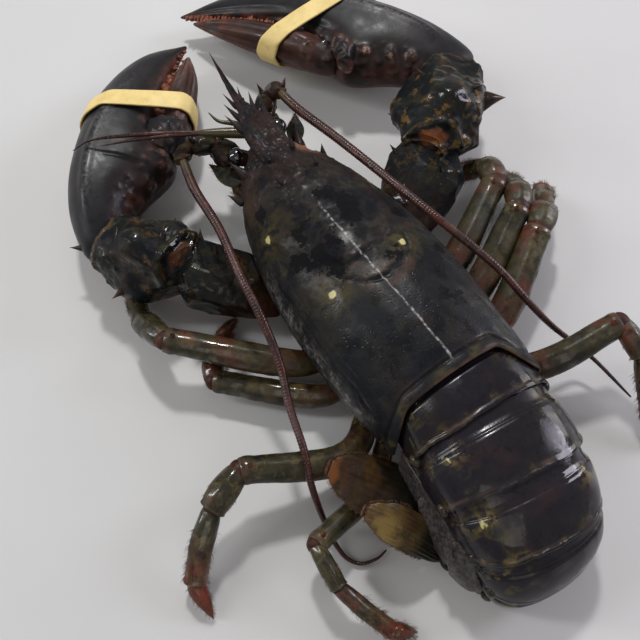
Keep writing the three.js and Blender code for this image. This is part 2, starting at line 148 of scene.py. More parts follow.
def profile(values, size=1.0):
    """A smooth size along a piece, through evenly placed values or (place, value) pairs."""
    pairs = [v if isinstance(v, tuple) else (i / max(len(values) - 1, 1), v)
             for i, v in enumerate(values)]
    x, y = np.array(pairs, float).T
    slope = np.gradient(y, x)

    def value(place):
        k = np.clip(np.searchsorted(x, place, side="right") - 1, 0, len(x) - 2)
        width = x[k + 1] - x[k]
        t = np.clip((place - x[k]) / width, 0, 1)
        return size * hermite(y[k], y[k + 1], slope[k] * width, slope[k + 1] * width, t)

    return value


def ramp(value, low, high):
    """0 below low, 1 above high, smooth between."""
    t = np.clip((np.asarray(value, float) - low) / (high - low), 0, 1)
    return t * t * (3 - 2 * t)


def fade(value, low, high):
    """1 below low, 0 above high, smooth between."""
    return 1 - ramp(value, low, high)


def hump(value, middle, width):
    """1 at the middle, falling off smoothly on both sides."""
    return np.exp(-(((value - middle) / width) ** 2))


print("a quarter turn reads", Route([(1, 0, 0), (0.7, 0.7, 0), (0, 1, 0)]).length.round(3), "long")

# %% [markdown]
# ## A skin
# Each hard piece of a lobster is a shell with no inside to see, so a closed grid of points is
# enough: rows follow the piece and columns go round it. A skin can be pushed out and in along its
# normals for knobs and grooves, and it carries marks, numbers at each point that the finishes read
# later. Sculpting or a displace modifier would work as well, but neither keeps such marks in step
# with the shape.


# %% The skin grid
class Skin:
    """A closed grid. Its first and last rows are single points unless it is a ring."""

    def __init__(self, points, place, angle, length=1.0, ring=False):
        self.points, self.place, self.angle = points, place, angle
        self.length, self.ring, self.marks = length, ring, {}

    def normals(self):
        if self.ring:
            along = np.roll(self.points, -1, 0) - np.roll(self.points, 1, 0)
        else:
            along = np.gradient(self.points, axis=0)
        around = np.roll(self.points, -1, 1) - np.roll(self.points, 1, 1)
        return unit(np.cross(along, around))

    def push(self, height):
        """Moves each point out along its normal by a height in millimetres."""
        self.points = self.points + self.normals() * np.asarray(height, float)[..., None]
        if not self.ring:
            self.points[0] = self.points[0].mean(0)
            self.points[-1] = self.points[-1].mean(0)
        return self

    def mark(self, **values):
        for name, value in values.items():
            known = self.marks.get(name, 0.0)
            self.marks[name] = np.maximum(known, np.broadcast_to(value, self.place.shape))
        return self

    def stay_above(self, height):
        """Lifts what would sink below a height over the ground."""
        self.points[..., 2] = np.maximum(self.points[..., 2], height)

    def spot(self, place, degrees, raised=0.0):
        """The point and normal of the skin at a place along it and an angle round it."""
        i = np.abs(self.place[:, 0] - place).argmin()
        turn = (self.angle[0] - math.radians(degrees) + math.pi) % (2 * math.pi) - math.pi
        j = np.abs(turn).argmin()
        normal = self.normals()[i, j]
        return self.points[i, j] + normal * raised, normal

    def part(self):
        """Points, four-sided faces, three-sided faces and marks of the closed mesh."""
        rows, columns = self.place.shape
        grid = np.arange(rows * columns).reshape(rows, columns)
        if self.ring:
            a, b = grid, np.roll(grid, -1, 0)
            quads = np.stack([a, b, np.roll(b, -1, 1), np.roll(a, -1, 1)], -1).reshape(-1, 4)
            keep, tris = grid.ravel(), np.zeros((0, 3), int)
        else:
            a, b = grid[1:-2], grid[2:-1]
            quads = np.stack([a, b, np.roll(b, -1, 1), np.roll(a, -1, 1)], -1).reshape(-1, 4)
            first, last = grid[0, 0], grid[-1, 0]
            low, high = grid[1], grid[-2]
            start = np.stack([np.full(columns, first), low, np.roll(low, -1)], -1)
            end = np.stack([high, np.full(columns, last), np.roll(high, -1)], -1)
            tris = np.vstack([start, end])
            keep = np.concatenate([[first], grid[1:-1].ravel(), [last]])
        renumber = np.zeros(rows * columns, int)
        renumber[keep] = np.arange(len(keep))
        marks = {name: value.ravel()[keep] for name, value in self.marks.items()}
        return self.points.reshape(-1, 3)[keep], renumber[quads], renumber[tris], marks


def power(value, exponent):
    return np.sign(value) * np.abs(value) ** exponent


def steady_up(way, up):
    """An up direction that isn't along the way."""
    up = np.broadcast_to(np.asarray(up, float), way.shape)
    spare = np.broadcast_to(np.array([0.2, 1.0, 0.1]), way.shape)
    close = np.abs((way * unit(up)).sum(-1, keepdims=True)) > 0.97
    return np.where(close, spare, up)


def loft(path, right, left=None, top=None, bottom=None, rows=60, columns=40, blunt=0.5,
         blunt_end=None, square=2.0, up=(0, 0, 1)):
    """A closed piece of rounded section along a path. right, left, top and bottom are its half
    sizes as seen along the path. blunt shapes the ends: 1 is round, near 0 is flat."""
    rows, columns = max(int(rows * FINE), 6), max(int(columns * FINE) // 2 * 2, 6)
    route = path if isinstance(path, Route) else Route(path)
    left = right if left is None else left
    top = right if top is None else top
    bottom = top if bottom is None else bottom
    turn = np.linspace(0, math.pi, rows)
    place = (1 - np.cos(turn)) / 2
    end = blunt if blunt_end is None else blunt_end
    fullness = np.sin(turn) ** np.where(place < 0.5, blunt, end)
    fullness[[0, -1]] = 0
    centre, way = route.read(place)
    side = unit(np.cross(way, steady_up(way, up)))
    crown = np.cross(side, way)
    angle = np.linspace(0, 2 * math.pi, columns, endpoint=False)
    across, rise = power(np.cos(angle), 2 / square), power(np.sin(angle), 2 / square)
    r, l, t, b = [profile(sizes)(place)[:, None] for sizes in (right, left, top, bottom)]
    wide = np.where(across > 0, r, l) * across * fullness[:, None]
    high = np.where(rise > 0, t, b) * rise * fullness[:, None]
    points = centre[:, None] + wide[..., None] * side[:, None] + high[..., None] * crown[:, None]
    grid_place, grid_angle = np.meshgrid(place, angle, indexing="ij")
    return Skin(points, grid_place, grid_angle, route.length)


egg = loft([(0, 0, 0), (0, 10, 0)], [3, 4, 3])
print("a trial skin has", egg.part()[0].shape[0], "points")

# %% [markdown]
# ## Relief
# A shell is never even: it has slow dents, fine grain, scattered knobs and grooves. Slow dents come
# from a noise that blends random values between the corners of a lattice. Knobs are soft bumps
# round given points, and a groove is a soft valley along a line.


# %% Noise, knobs and grooves
def noise(points, size, seed):
    """Smooth random values from -1 to 1 that change over about size millimetres."""
    table = np.random.default_rng(seed).uniform(-1, 1, (24, 24, 24))
    q = np.asarray(points) / size
    cell = np.floor(q).astype(int)
    f = q - cell
    f = f * f * (3 - 2 * f)
    total = 0
    for corner in itertools.product((0, 1), repeat=3):
        c = np.array(corner)
        weight = np.prod(np.where(c == 1, f, 1 - f), axis=-1)
        i, j, k = np.moveaxis((cell + c) % 24, -1, 0)
        total = total + weight * table[i, j, k]
    return total


def uneven(skin, size, seed):
    """Noise over a skin with finer and weaker layers on top."""
    return sum(noise(skin.points, size / 2**n, seed + n) / 2**n for n in range(3)) / 1.6


def patches(skin, size, seed, low, high):
    """Ragged patches of about size millimetres on a skin: 0 outside them, 1 inside."""
    return ramp(noise(skin.points, size, seed), low, high)


def underside(skin, low, high):
    """1 on the lower side of a skin. low and high are sines of the angle round it."""
    return fade(np.sin(skin.angle), low, high)


def knobs(skin, centres, radii, heights):
    """The summed height of soft round bumps on a skin."""
    total = np.zeros(skin.place.shape)
    radii, heights = np.broadcast_to(radii, len(centres)), np.broadcast_to(heights, len(centres))
    for centre, radius, height in zip(centres, radii, heights):
        near = np.abs(skin.points[..., 1] - centre[1]) < 3 * radius
        offset = skin.points[near] - centre
        total[near] += height * np.exp(-((offset**2).sum(-1)) / radius**2)
    return total


def scatter_knobs(skin, seed, count, places, turns, radii, heights):
    """Raises knobs at drawn places of a skin. Each pair is the lowest and highest value drawn."""
    draw = np.random.default_rng(seed)
    spots = [skin.spot(draw.uniform(*places), draw.uniform(*turns))[0] for _ in range(count)]
    skin.push(knobs(skin, spots, draw.uniform(*radii, count), draw.uniform(*heights, count)))


def distance_to(points, line):
    """How far each point is from a line of points."""
    flat = points.reshape(-1, points.shape[-1])
    best = np.full(len(flat), 1e9)
    for spot in line:
        best = np.minimum(best, ((flat - spot) ** 2).sum(-1))
    return np.sqrt(best).reshape(points.shape[:-1])


sample = noise(np.random.default_rng(1).uniform(0, 90, (500, 3)), 5, 2)
print("noise runs from", sample.min().round(2), "to", sample.max().round(2))

# %% [markdown]
# ## Spikes, hairs and soft pads
# A lobster bristles with spines on its arms, teeth in its claws and stiff hairs on its feet. A
# spine is a skin that runs out to a point. Hairs are far too many for that, so each is a bent
# three-sided sliver and all of them are made at once. Soft pads are small rounded skins that fill
# the joints.


# %% Spikes, hairs and pads
def spike(base, tip, radius, hook=(0, 0, 0), columns=14, rows=16, root=0.0):
    """A spine from its base to a sharp tip, bent by hook at its middle. Its root is sunk behind
    the base, so that it grows out of the shell."""
    base, tip = np.array(base, float), np.array(tip, float)
    base = base - unit(tip - base) * root
    middle = (base + tip) / 2 + np.array(hook, float)
    sizes = [radius, radius * 0.85, radius * 0.55, radius * 0.28, 0.06]
    return loft([base, middle, tip], sizes, rows=rows, columns=columns, blunt=0.3, blunt_end=0.5)


def pad(centre, way, length, width, height, rows=26, columns=28):
    """A soft rounded lump, length along way."""
    centre, way = np.array(centre, float), unit(np.array(way, float))
    ends = [centre - way * length, centre, centre + way * length]
    return loft(ends, [width] * 3, top=[height] * 3, rows=rows, columns=columns, blunt=1.0)


class Hairs:
    """Many bent slivers in one mesh."""

    def __init__(self, roots, ways, length, thickness, seed, spread=0.35):
        draw = np.random.default_rng(seed)
        roots, ways = np.array(roots, float), unit(np.array(ways, float))
        count = len(roots)
        ways = unit(ways + draw.normal(0, spread, (count, 3)))
        reach = length * draw.uniform(0.6, 1.15, (count, 1))
        side = unit(np.cross(ways, draw.normal(0, 1, (count, 3))))
        other = np.cross(ways, side)
        bend = unit(ways + draw.normal(0, 0.25, (count, 3)))
        rings = []
        for step, share in ((0.0, 1.0), (0.5, 0.7)):
            for turn in range(3):
                a = 2 * math.pi * turn / 3
                out = (math.cos(a) * side + math.sin(a) * other) * thickness * share
                rings.append(roots + ways * reach * step + out)
        rings.append(roots + ways * reach * 0.5 + bend * reach * 0.5)
        self.points = np.stack(rings, 1).reshape(-1, 3)
        start = np.arange(count)[:, None] * 7
        quads = np.array([[0, 1, 4, 3], [1, 2, 5, 4], [2, 0, 3, 5]])
        tris = np.array([[3, 4, 6], [4, 5, 6], [5, 3, 6], [0, 2, 1]])
        self.quads = (start[..., None] + quads[None]).reshape(-1, 4)
        self.tris = (start[..., None] + tris[None]).reshape(-1, 3)
        self.marks = {"hair": np.tile([0, 0, 0, 0.6, 0.6, 0.6, 1.0], count)}

    def part(self):
        return self.points, self.quads, self.tris, self.marks


print("one hair has", len(Hairs([(0, 0, 0)], [(0, 0, 1)], 3, 0.1, 1).points), "points")

# %% [markdown]
# ## From skins to a piece
# A piece is one mesh joined from all of its skins. The marks become float attributes, so that a
# finish can read them at every point. The mesh is filled from arrays, which is far faster than
# adding faces one by one, and stands in for its solid in the frame.

# %% Joining skins into a piece
FINISHES = {}
made = []
LOWEST = 0.02  # millimetres; nothing sinks into the ground


def new_object(name, data):
    """An object in the scene that shows a mesh, a light or a camera."""
    thing = bpy.data.objects.new(name, data)
    bpy.context.scene.collection.objects.link(thing)
    return thing


def make_piece(name, skins, finish, stands_in=True):
    """Joins the skins into one object, which stands in for the frame's node of its name."""
    parts = [skin.part() for skin in skins]
    names = sorted({key for part in parts for key in part[3]})
    start, points, quads, tris = 0, [], [], []
    for part in parts:
        points.append(part[0])
        quads.append(part[1] + start)
        tris.append(part[2] + start)
        start += len(part[0])
    points, quads, tris = np.vstack(points), np.vstack(quads), np.vstack(tris)
    points[:, 2] = np.maximum(points[:, 2], LOWEST)
    mesh = bpy.data.meshes.new(name)
    mesh.vertices.add(len(points))
    mesh.vertices.foreach_set("co", in_frame(points).astype(np.float32).ravel())
    mesh.loops.add(quads.size + tris.size)
    mesh.loops.foreach_set("vertex_index",
                           np.concatenate([quads.ravel(), tris.ravel()]).astype(np.int32))
    mesh.polygons.add(len(quads) + len(tris))
    starts = np.concatenate([np.arange(len(quads)) * 4, quads.size + np.arange(len(tris)) * 3])
    mesh.polygons.foreach_set("loop_start", starts.astype(np.int32))
    mesh.polygons.foreach_set("use_smooth", np.ones(len(starts), bool))
    for key in names:
        layer = mesh.attributes.new(key, "FLOAT", "POINT")
        blank = [part[3].get(key, np.zeros(len(part[0]))) for part in parts]
        layer.data.foreach_set("value", np.concatenate(blank).astype(np.float32))
    mesh.update(calc_edges=True)
    mesh.validate()
    mesh.materials.append(FINISHES[finish])
    piece = new_object(name + "_skin", mesh)
    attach(piece, "root")
    if stands_in:
        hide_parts(name)
    made.append(piece)


print("pieces so far:", len(made))

# %% [markdown]
# ## Building finishes from nodes
# Shader trees are built here in code. A small helper adds a node, sets or links its inputs and
# returns its output, which keeps each finish short enough to read.


# %% A helper for shader nodes
class Wiring:
    """Adds nodes to a shader tree, of a material or of a group."""

    def __init__(self, tree):
        self.tree = tree

    def feed(self, socket, value):
        if isinstance(value, bpy.types.NodeSocket):
            self.tree.links.new(value, socket)
        elif hasattr(socket.default_value, "__len__") and len(socket.default_value) == 4:
            socket.default_value = (*value[:3], 1.0)
        else:
            socket.default_value = value

    def add(self, kind, inputs=None, output=0, **settings):
        node = self.tree.nodes.new(kind)
        for key, value in settings.items():
            setattr(node, key, value)
        for key, value in (inputs or {}).items():
            self.feed(node.inputs[key], value)
        return node.outputs[output]

    def mark(self, name):
        return self.add("ShaderNodeAttribute", output="Fac", attribute_name=name)

    def math(self, operation, a, b=0.0, clamp=False):
        return self.add("ShaderNodeMath", {0: a, 1: b}, operation=operation, use_clamp=clamp)

    def times(self, a, b, clamp=False):
        return self.math("MULTIPLY", a, b, clamp)

    def mix(self, share, a, b):
        node = self.tree.nodes.new("ShaderNodeMix")
        node.data_type = "RGBA"
        for socket, value in zip((0, 6, 7), (share, a, b)):  # the colour sockets of this node
            self.feed(node.inputs[socket], value)
        return node.outputs[2]

    def ramp(self, value, low, high, out_low=0.0, out_high=1.0):
        inputs = {"Value": value, "From Min": low, "From Max": high, "To Min": out_low,
                  "To Max": out_high}
        return self.add("ShaderNodeMapRange", inputs, interpolation_type="SMOOTHSTEP", clamp=True)

    def place(self):
        return self.add("ShaderNodeTexCoord", output="Object")

    def noise(self, where, size, detail=3.0, rough=0.55):
        """Noise over the surface. size is the size of its patches in millimetres."""
        inputs = {"Vector": where, "Scale": 1 / (size * MM), "Detail": detail, "Roughness": rough}
        return self.add("ShaderNodeTexNoise", inputs, output="Fac")


def new_group(name, inputs, outputs):
    """An empty node group with its sockets: its tree, its wiring, what comes in and goes out."""
    tree = bpy.data.node_groups.new(name, "ShaderNodeTree")
    for label, kind, value in inputs:
        socket = tree.interface.new_socket(label, in_out="INPUT", socket_type=kind)
        if value is not None:
            socket.default_value = value
    for label, kind in outputs:
        tree.interface.new_socket(label, in_out="OUTPUT", socket_type=kind)
    into = tree.nodes.new("NodeGroupInput").outputs
    out = tree.nodes.new("NodeGroupOutput").inputs
    return tree, Wiring(tree), into, out


FLOAT, COLOUR, VECTOR = "NodeSocketFloat", "NodeSocketColor", "NodeSocketVector"
print("helper ready, with socket kinds", FLOAT, COLOUR, VECTOR)

# %% [markdown]
# ## Mottling
# A live lobster is mottled: large soft clouds of olive or brown over near-black, with small dark
# specks on top. Every hard piece has it in its own sizes, so it is one group. Warping the place by
# a coarse noise first makes the clouds ragged like the real pigment.

# %% The mottling group
mottling, w, into, out = new_group(
    "Mottling",
    [("Place", VECTOR, None), ("Cloud size mm", FLOAT, 18.0), ("Speck size mm", FLOAT, 2.2)],
    [("Clouds", FLOAT), ("Specks", FLOAT), ("Tone", FLOAT)],
)
per_metre = 1 / MM
cloud_scale = w.math("DIVIDE", per_metre, into["Cloud size mm"])
speck_scale = w.math("DIVIDE", per_metre, into["Speck size mm"])
warp = w.add("ShaderNodeTexNoise", {"Vector": into["Place"], "Scale": cloud_scale, "Detail": 2.0},
             "Color")
shifted = w.add("ShaderNodeVectorMath", {0: warp, 1: (0.5, 0.5, 0.5)}, operation="SUBTRACT")
shifted = w.add("ShaderNodeVectorMath", {0: shifted, "Scale": 0.012}, operation="SCALE")
ragged = w.add("ShaderNodeVectorMath", {0: into["Place"], 1: shifted}, operation="ADD")
coarse = {"Vector": ragged, "Scale": cloud_scale, "Detail": 5.0, "Roughness": 0.62}
fine = {"Vector": ragged, "Scale": speck_scale, "Detail": 3.0, "Roughness": 0.6}
clouds = w.add("ShaderNodeTexNoise", coarse)
specks = w.add("ShaderNodeTexNoise", fine)
tone = w.add("ShaderNodeTexNoise", {"Vector": into["Place"], "Scale": 55.0, "Detail": 2.0})
w.feed(out["Clouds"], w.ramp(clouds, 0.42, 0.66))
w.feed(out["Specks"], w.ramp(specks, 0.55, 0.68))
w.feed(out["Tone"], tone)
print("group", mottling.name, "has", len(mottling.nodes), "nodes")

# %% [markdown]
# ## Pits and grain
# Close up the shell has tiny pits where hairs grew and a fine grain between them. Both are far too
# small for the mesh, so they are a height that feeds a bump. A cell pattern gives the pits and a
# noise gives the grain.

# %% The pits and grain group
pitting, w, into, out = new_group(
    "Pits and grain",
    [("Place", VECTOR, None), ("Pit size mm", FLOAT, 1.6), ("Pit depth", FLOAT, 0.5),
     ("Grain", FLOAT, 0.3)],
    [("Height", FLOAT), ("Pits", FLOAT)],
)
pit_scale = w.math("DIVIDE", per_metre, into["Pit size mm"])
cells = w.add("ShaderNodeTexVoronoi",
              {"Vector": into["Place"], "Scale": pit_scale, "Randomness": 1.0})
pits = w.ramp(cells, 0.02, 0.34, 1.0, 0.0)
grain_scale = w.times(pit_scale, 2.7)
grain = w.add("ShaderNodeTexNoise", {"Vector": into["Place"], "Scale": grain_scale, "Detail": 3.0})
low = w.times(pits, w.times(into["Pit depth"], -1.0))
w.feed(out["Height"], w.math("ADD", low, w.times(grain, into["Grain"])))
w.feed(out["Pits"], pits)
print("group", pitting.name, "has", len(pitting.nodes), "nodes")

# %% [markdown]
# ## Wetness
# The animal is damp, not soaked: most of the shell has a soft satin sheen, with smoother runs where
# water lies. The group gives a roughness that wanders between a wet and a dry value.

# %% The wetness group
wetness, w, into, out = new_group(
    "Wetness",
    [("Place", VECTOR, None), ("Wet", FLOAT, 0.15), ("Dry", FLOAT, 0.4),
     ("Run size mm", FLOAT, 9.0)],
    [("Roughness", FLOAT), ("Film", FLOAT)],
)
run_scale = w.math("DIVIDE", per_metre, into["Run size mm"])
streams = {"Vector": into["Place"], "Scale": run_scale, "Detail": 4.0, "Roughness": 0.6}
runs = w.add("ShaderNodeTexNoise", streams)
film = w.ramp(runs, 0.42, 0.6)
span = w.math("SUBTRACT", into["Wet"], into["Dry"])
w.feed(out["Roughness"], w.math("ADD", into["Dry"], w.times(film, span)))
w.feed(out["Film"], film)
print("group", wetness.name, "has", len(wetness.nodes), "nodes")

# %% [markdown]
# ## The shell finishes
# All hard pieces share one recipe, with their own colours: a near-black ground with a cast, clouds
# of a second colour, dark specks, then what the marks say - warm red-brown, darker grooves, brown
# rims, olive and cream spots, a pale underside, rust at the joints, and pale lines and patches,
# some of them painted highlights and painted sheen. One function builds a material from named
# colours, so that the pieces stay a family.


# %% The shell recipe
BUMP_DEPTH = 0.3 * MM  # how deep a bump of full height looks
# the colour of pale lines and patches: real pale edges, and painted highlights and painted sheen on
# the back, claws, flanks, wrists and tail rings
PALE_LINE_AND_SHEEN_COLOUR = (0.33, 0.32, 0.31)


def group_node(wiring, tree, inputs):
    node = wiring.tree.nodes.new("ShaderNodeGroup")
    node.node_tree = tree
    for key, value in inputs.items():
        wiring.feed(node.inputs[key], value)
    return node.outputs


def new_finish(name):
    """An empty finish. Returns its wiring, its shader and the place on the surface."""
    material = bpy.data.materials.new(name)
    material.use_nodes = True
    FINISHES[name] = material
    w = Wiring(material.node_tree)
    return w, material.node_tree.nodes["Principled BSDF"], w.place()


def shell_finish(name, ground, cloud, warm, rim, under, wet, dry, joint=(0.16, 0.045, 0.015),
                 fleck=(0.10, 0.055, 0.012), cloud_mm=18.0, speck_mm=2.2, pit_mm=1.6, bump=0.25,
                 coat=0.1, film_rough=0.07, gloss=0.35):
    """A damp shell. The colours are linear light, and coat is how much clear water lies on it."""
    w, shader, here = new_finish(name)
    mottle = group_node(w, mottling,
                        {"Place": here, "Cloud size mm": cloud_mm, "Speck size mm": speck_mm})
    colour = w.mix(mottle["Clouds"], ground, cloud)
    tone = w.ramp(mottle["Tone"], 0.3, 0.7, 0.0, 0.5)
    colour = w.mix(tone, colour, tuple(c * 0.45 for c in ground))
    warmth = w.times(w.mark("warm"), w.ramp(w.noise(here, 7), 0.3, 0.62), clamp=True)
    colour = w.mix(warmth, colour, warm)
    colour = w.mix(w.times(mottle["Specks"], 0.55), colour, tuple(c * 0.3 for c in ground))
    pale = w.times(w.mark("under"), w.ramp(w.noise(here, 9), 0.25, 0.6, 0.55, 1.0))
    colour = w.mix(pale, colour, under)
    rusty = w.times(w.mark("joint"), w.ramp(w.noise(here, 4), 0.3, 0.6, 0.35, 1.0))
    colour = w.mix(rusty, colour, joint)
    halo = w.times(w.mark("olive"), w.ramp(w.noise(here, 3), 0.35, 0.6))
    colour = w.mix(halo, colour, (0.047, 0.039, 0.015))
    ragged = w.ramp(w.noise(here, 4.5, 6.0, 0.7), 0.5, 0.6)
    colour = w.mix(w.times(w.mark("fleck"), ragged), colour, fleck)
    edge = w.times(w.mark("rim"), w.ramp(w.noise(here, 5), 0.25, 0.6, 0.3, 1.0))
    colour = w.mix(edge, colour, rim)
    colour = w.mix(w.times(w.mark("groove"), 0.85), colour, (0.002, 0.002, 0.003))
    patch = w.math("ADD", w.mark("blotch"), w.times(w.noise(here, 4.5, 7.0, 0.72), 2.0))
    dull = w.ramp(patch, 1.38, 1.5)
    colour = w.mix(w.times(dull, 0.85), colour, (0.003, 0.003, 0.004))
    spot = w.math("ADD", w.mark("cream"), w.times(w.noise(here, 1.6, 4.0), 0.9))
    colour = w.mix(w.ramp(spot, 0.8, 1.05), colour, (0.42, 0.38, 0.17))
    # pale lines and patches: real pale edges, and painted highlights and painted sheen where the
    # marks ask for them
    gap = w.math("ABSOLUTE", w.math("SUBTRACT", w.mark("line"), 0.5))
    pale_line_and_sheen = w.times(w.ramp(gap, 0.05, 0.17, 1.0, 0.0), w.mark("lined"))
    broken = w.ramp(w.noise(here, 1.4, 4.0), 0.40, 0.64, 0.08, 0.9)
    colour = w.mix(w.times(pale_line_and_sheen, broken), colour, PALE_LINE_AND_SHEEN_COLOUR)
    film = group_node(w, wetness, {"Place": here, "Wet": wet, "Dry": dry})
    relief = group_node(w, pitting, {"Place": here, "Pit size mm": pit_mm})
    normal = w.add("ShaderNodeBump",
                   {"Strength": bump, "Distance": BUMP_DEPTH, "Height": relief["Height"]})
    w.feed(shader.inputs["Base Color"], colour)
    worn = w.math("ADD", w.times(w.mark("rough"), 0.45), w.times(dull, 0.5))
    w.feed(shader.inputs["Roughness"], w.math("ADD", film["Roughness"], worn, True))
    w.feed(shader.inputs["Normal"], normal)
    shader.inputs["Specular IOR Level"].default_value = gloss
    shine = w.times(film["Film"], w.math("SUBTRACT", 1.0, dull))
    w.feed(shader.inputs["Coat Weight"], w.times(shine, coat))
    shader.inputs["Coat Roughness"].default_value = film_rough


# %% [markdown]
# The back is blue-black with olive clouds and turns brown towards the head. The tail is more
# purple and smoother. Claws are grey on the outside and brown within. The wrists are the most
# mottled, green and ochre over black, and the legs are olive-brown with rust joints.

# %% Mix the shell finishes
shell_finish("back shell", ground=(0.006, 0.007, 0.010), cloud=(0.018, 0.017, 0.014),
             warm=(0.027, 0.014, 0.012), rim=(0.075, 0.042, 0.029), under=(0.20, 0.10, 0.055),
             fleck=(0.028, 0.022, 0.013), cloud_mm=13, wet=0.25, dry=0.48, bump=0.5, coat=0.1,
             film_rough=0.22, gloss=0.15)
shell_finish("tail shell", ground=(0.013, 0.011, 0.016), cloud=(0.021, 0.017, 0.018),
             warm=(0.036, 0.018, 0.016), rim=(0.085, 0.056, 0.040), under=(0.22, 0.13, 0.075),
             fleck=(0.11, 0.078, 0.033), wet=0.07, dry=0.25, bump=0.12, coat=0.25, gloss=0.24)
shell_finish("claw shell", ground=(0.013, 0.013, 0.015), cloud=(0.019, 0.016, 0.017),
             warm=(0.050, 0.021, 0.015), rim=(0.24, 0.075, 0.042), under=(0.15, 0.062, 0.047),
             fleck=(0.27, 0.16, 0.12), cloud_mm=26, wet=0.34, dry=0.42, bump=0.12, coat=0.05,
             film_rough=0.16, gloss=0.18)
shell_finish("claw finger", ground=(0.036, 0.017, 0.014), cloud=(0.056, 0.027, 0.018),
             warm=(0.12, 0.034, 0.018), rim=(0.30, 0.082, 0.036), under=(0.18, 0.075, 0.052),
             cloud_mm=14, wet=0.3, dry=0.48, bump=0.15, coat=0.25, gloss=0.24)
shell_finish("arm shell", ground=(0.005, 0.007, 0.009), cloud=(0.009, 0.011, 0.007),
             warm=(0.045, 0.019, 0.010), rim=(0.14, 0.08, 0.04), under=(0.13, 0.06, 0.035),
             joint=(0.12, 0.036, 0.011), fleck=(0.13, 0.070, 0.017), cloud_mm=9, speck_mm=1.7,
             wet=0.12, dry=0.46, pit_mm=2.4, bump=0.6, coat=0.4, gloss=0.11)
shell_finish("leg shell", ground=(0.024, 0.022, 0.011), cloud=(0.064, 0.052, 0.021),
             warm=(0.125, 0.029, 0.017), rim=(0.2, 0.09, 0.035), under=(0.13, 0.08, 0.04),
             joint=(0.075, 0.030, 0.016), fleck=(0.085, 0.068, 0.030), cloud_mm=11, speck_mm=1.6,
             wet=0.16, dry=0.46, pit_mm=1.3, coat=0.4, gloss=0.28)
shell_finish("belly shell", ground=(0.17, 0.10, 0.055), cloud=(0.24, 0.16, 0.09),
             warm=(0.2, 0.07, 0.03), rim=(0.3, 0.2, 0.12), under=(0.26, 0.17, 0.1), wet=0.25,
             dry=0.5)
print("finishes:", ", ".join(FINISHES))

# %% [markdown]
# ## Feelers, fan, band, eyes, pads and hair
# The softer things have recipes of their own. The feelers are maroon with a pale joint at each of
# their hundreds of rings. The tail fan is thin and amber, with an orange fringe. The bands are
# matte yellow rubber, a little dirty. Eyes are black and finely faceted, and the skin in the
# joints is rust-coloured and wrinkled.


# %% Mix the softer finishes
def plain_finish(name, colour, roughness, height=None, bump=0.3, **fixed):
    """A Principled finish. colour, roughness and height are functions of wiring and place."""
    w, shader, here = new_finish(name)
    w.feed(shader.inputs["Base Color"], colour(w, here))
    w.feed(shader.inputs["Roughness"], roughness(w, here) if callable(roughness) else roughness)
    if height is not None:
        inputs = {"Strength": bump, "Distance": BUMP_DEPTH, "Height": height(w, here)}
        w.feed(shader.inputs["Normal"], w.add("ShaderNodeBump", inputs))
    for socket, value in fixed.items():
        shader.inputs[socket.replace("_", " ")].default_value = value


def damp(wet, dry):
    return lambda w, here: group_node(w, wetness,
                                      {"Place": here, "Wet": wet, "Dry": dry})["Roughness"]


def feeler_colour(w, here):
    base = w.mix(w.ramp(w.noise(here, 6), 0.35, 0.65), (0.016, 0.005, 0.004), (0.042, 0.011, 0.008))
    base = w.mix(w.mark("olive"), base, (0.045, 0.036, 0.012))
    # rim: pale ring joints, with painted glints along the whip
    return w.mix(w.times(w.mark("rim"), 0.4), base, (0.13, 0.052, 0.034))


def fan_colour(w, here):
    mottled = w.ramp(w.noise(here, 6, 6.0, 0.7), 0.4, 0.6)
    base = w.mix(mottled, (0.010, 0.0055, 0.004), (0.038, 0.017, 0.006))
    amber = w.times(w.mark("cream"), w.ramp(w.noise(here, 5, 5.0, 0.65), 0.3, 0.6, 0.25, 1.0))
    base = w.mix(amber, base, (0.135, 0.088, 0.024))
    base = w.mix(w.mark("groove"), base, (0.022, 0.010, 0.007))
    base = w.mix(w.mark("warm"), base, (0.045, 0.016, 0.014))
    # painted shade: near-black towards the fan's root, where it lies under the body
    base = w.mix(w.mark("olive"), base, (0.006, 0.006, 0.004))
    spots = w.times(w.ramp(w.noise(here, 1.2), 0.6, 0.68), 0.7)
    base = w.mix(spots, base, (0.02, 0.009, 0.006))
    return w.mix(w.mark("rim"), base, (0.15, 0.052, 0.014))


def band_colour(w, here):
    base = w.mix(w.ramp(w.noise(here, 8), 0.35, 0.65), (0.60, 0.455, 0.165), (0.68, 0.53, 0.21))
    dirt = w.times(w.ramp(w.noise(here, 2.5), 0.55, 0.75), 0.3)
    base = w.mix(dirt, base, (0.36, 0.25, 0.09))
    return w.mix(w.times(w.mark("rim"), 0.45), base, (0.36, 0.24, 0.08))


def pad_colour(w, here):
    return w.mix(w.ramp(w.noise(here, 2.5), 0.35, 0.65), (0.020, 0.008, 0.006),
                 (0.055, 0.018, 0.010))


def hair_colour(w, here):
    return w.mix(w.mark("hair"), (0.05, 0.022, 0.01), (0.14, 0.055, 0.022))


def eye_colour(w, here):
    return w.mix(w.mark("rim"), (0.004, 0.004, 0.005), (0.05, 0.018, 0.014))


def wrinkles(w, here):
    inputs = {"Vector": here, "Scale": 260.0, "Distortion": 6.0, "Detail": 3.0}
    folds = w.add("ShaderNodeTexWave", inputs, "Fac")
    return w.math("ADD", folds, w.noise(here, 0.8))


def fine_grain(w, here):
    return group_node(w, pitting, {"Place": here, "Pit size mm": 0.7, "Pit depth": 0.4})["Height"]


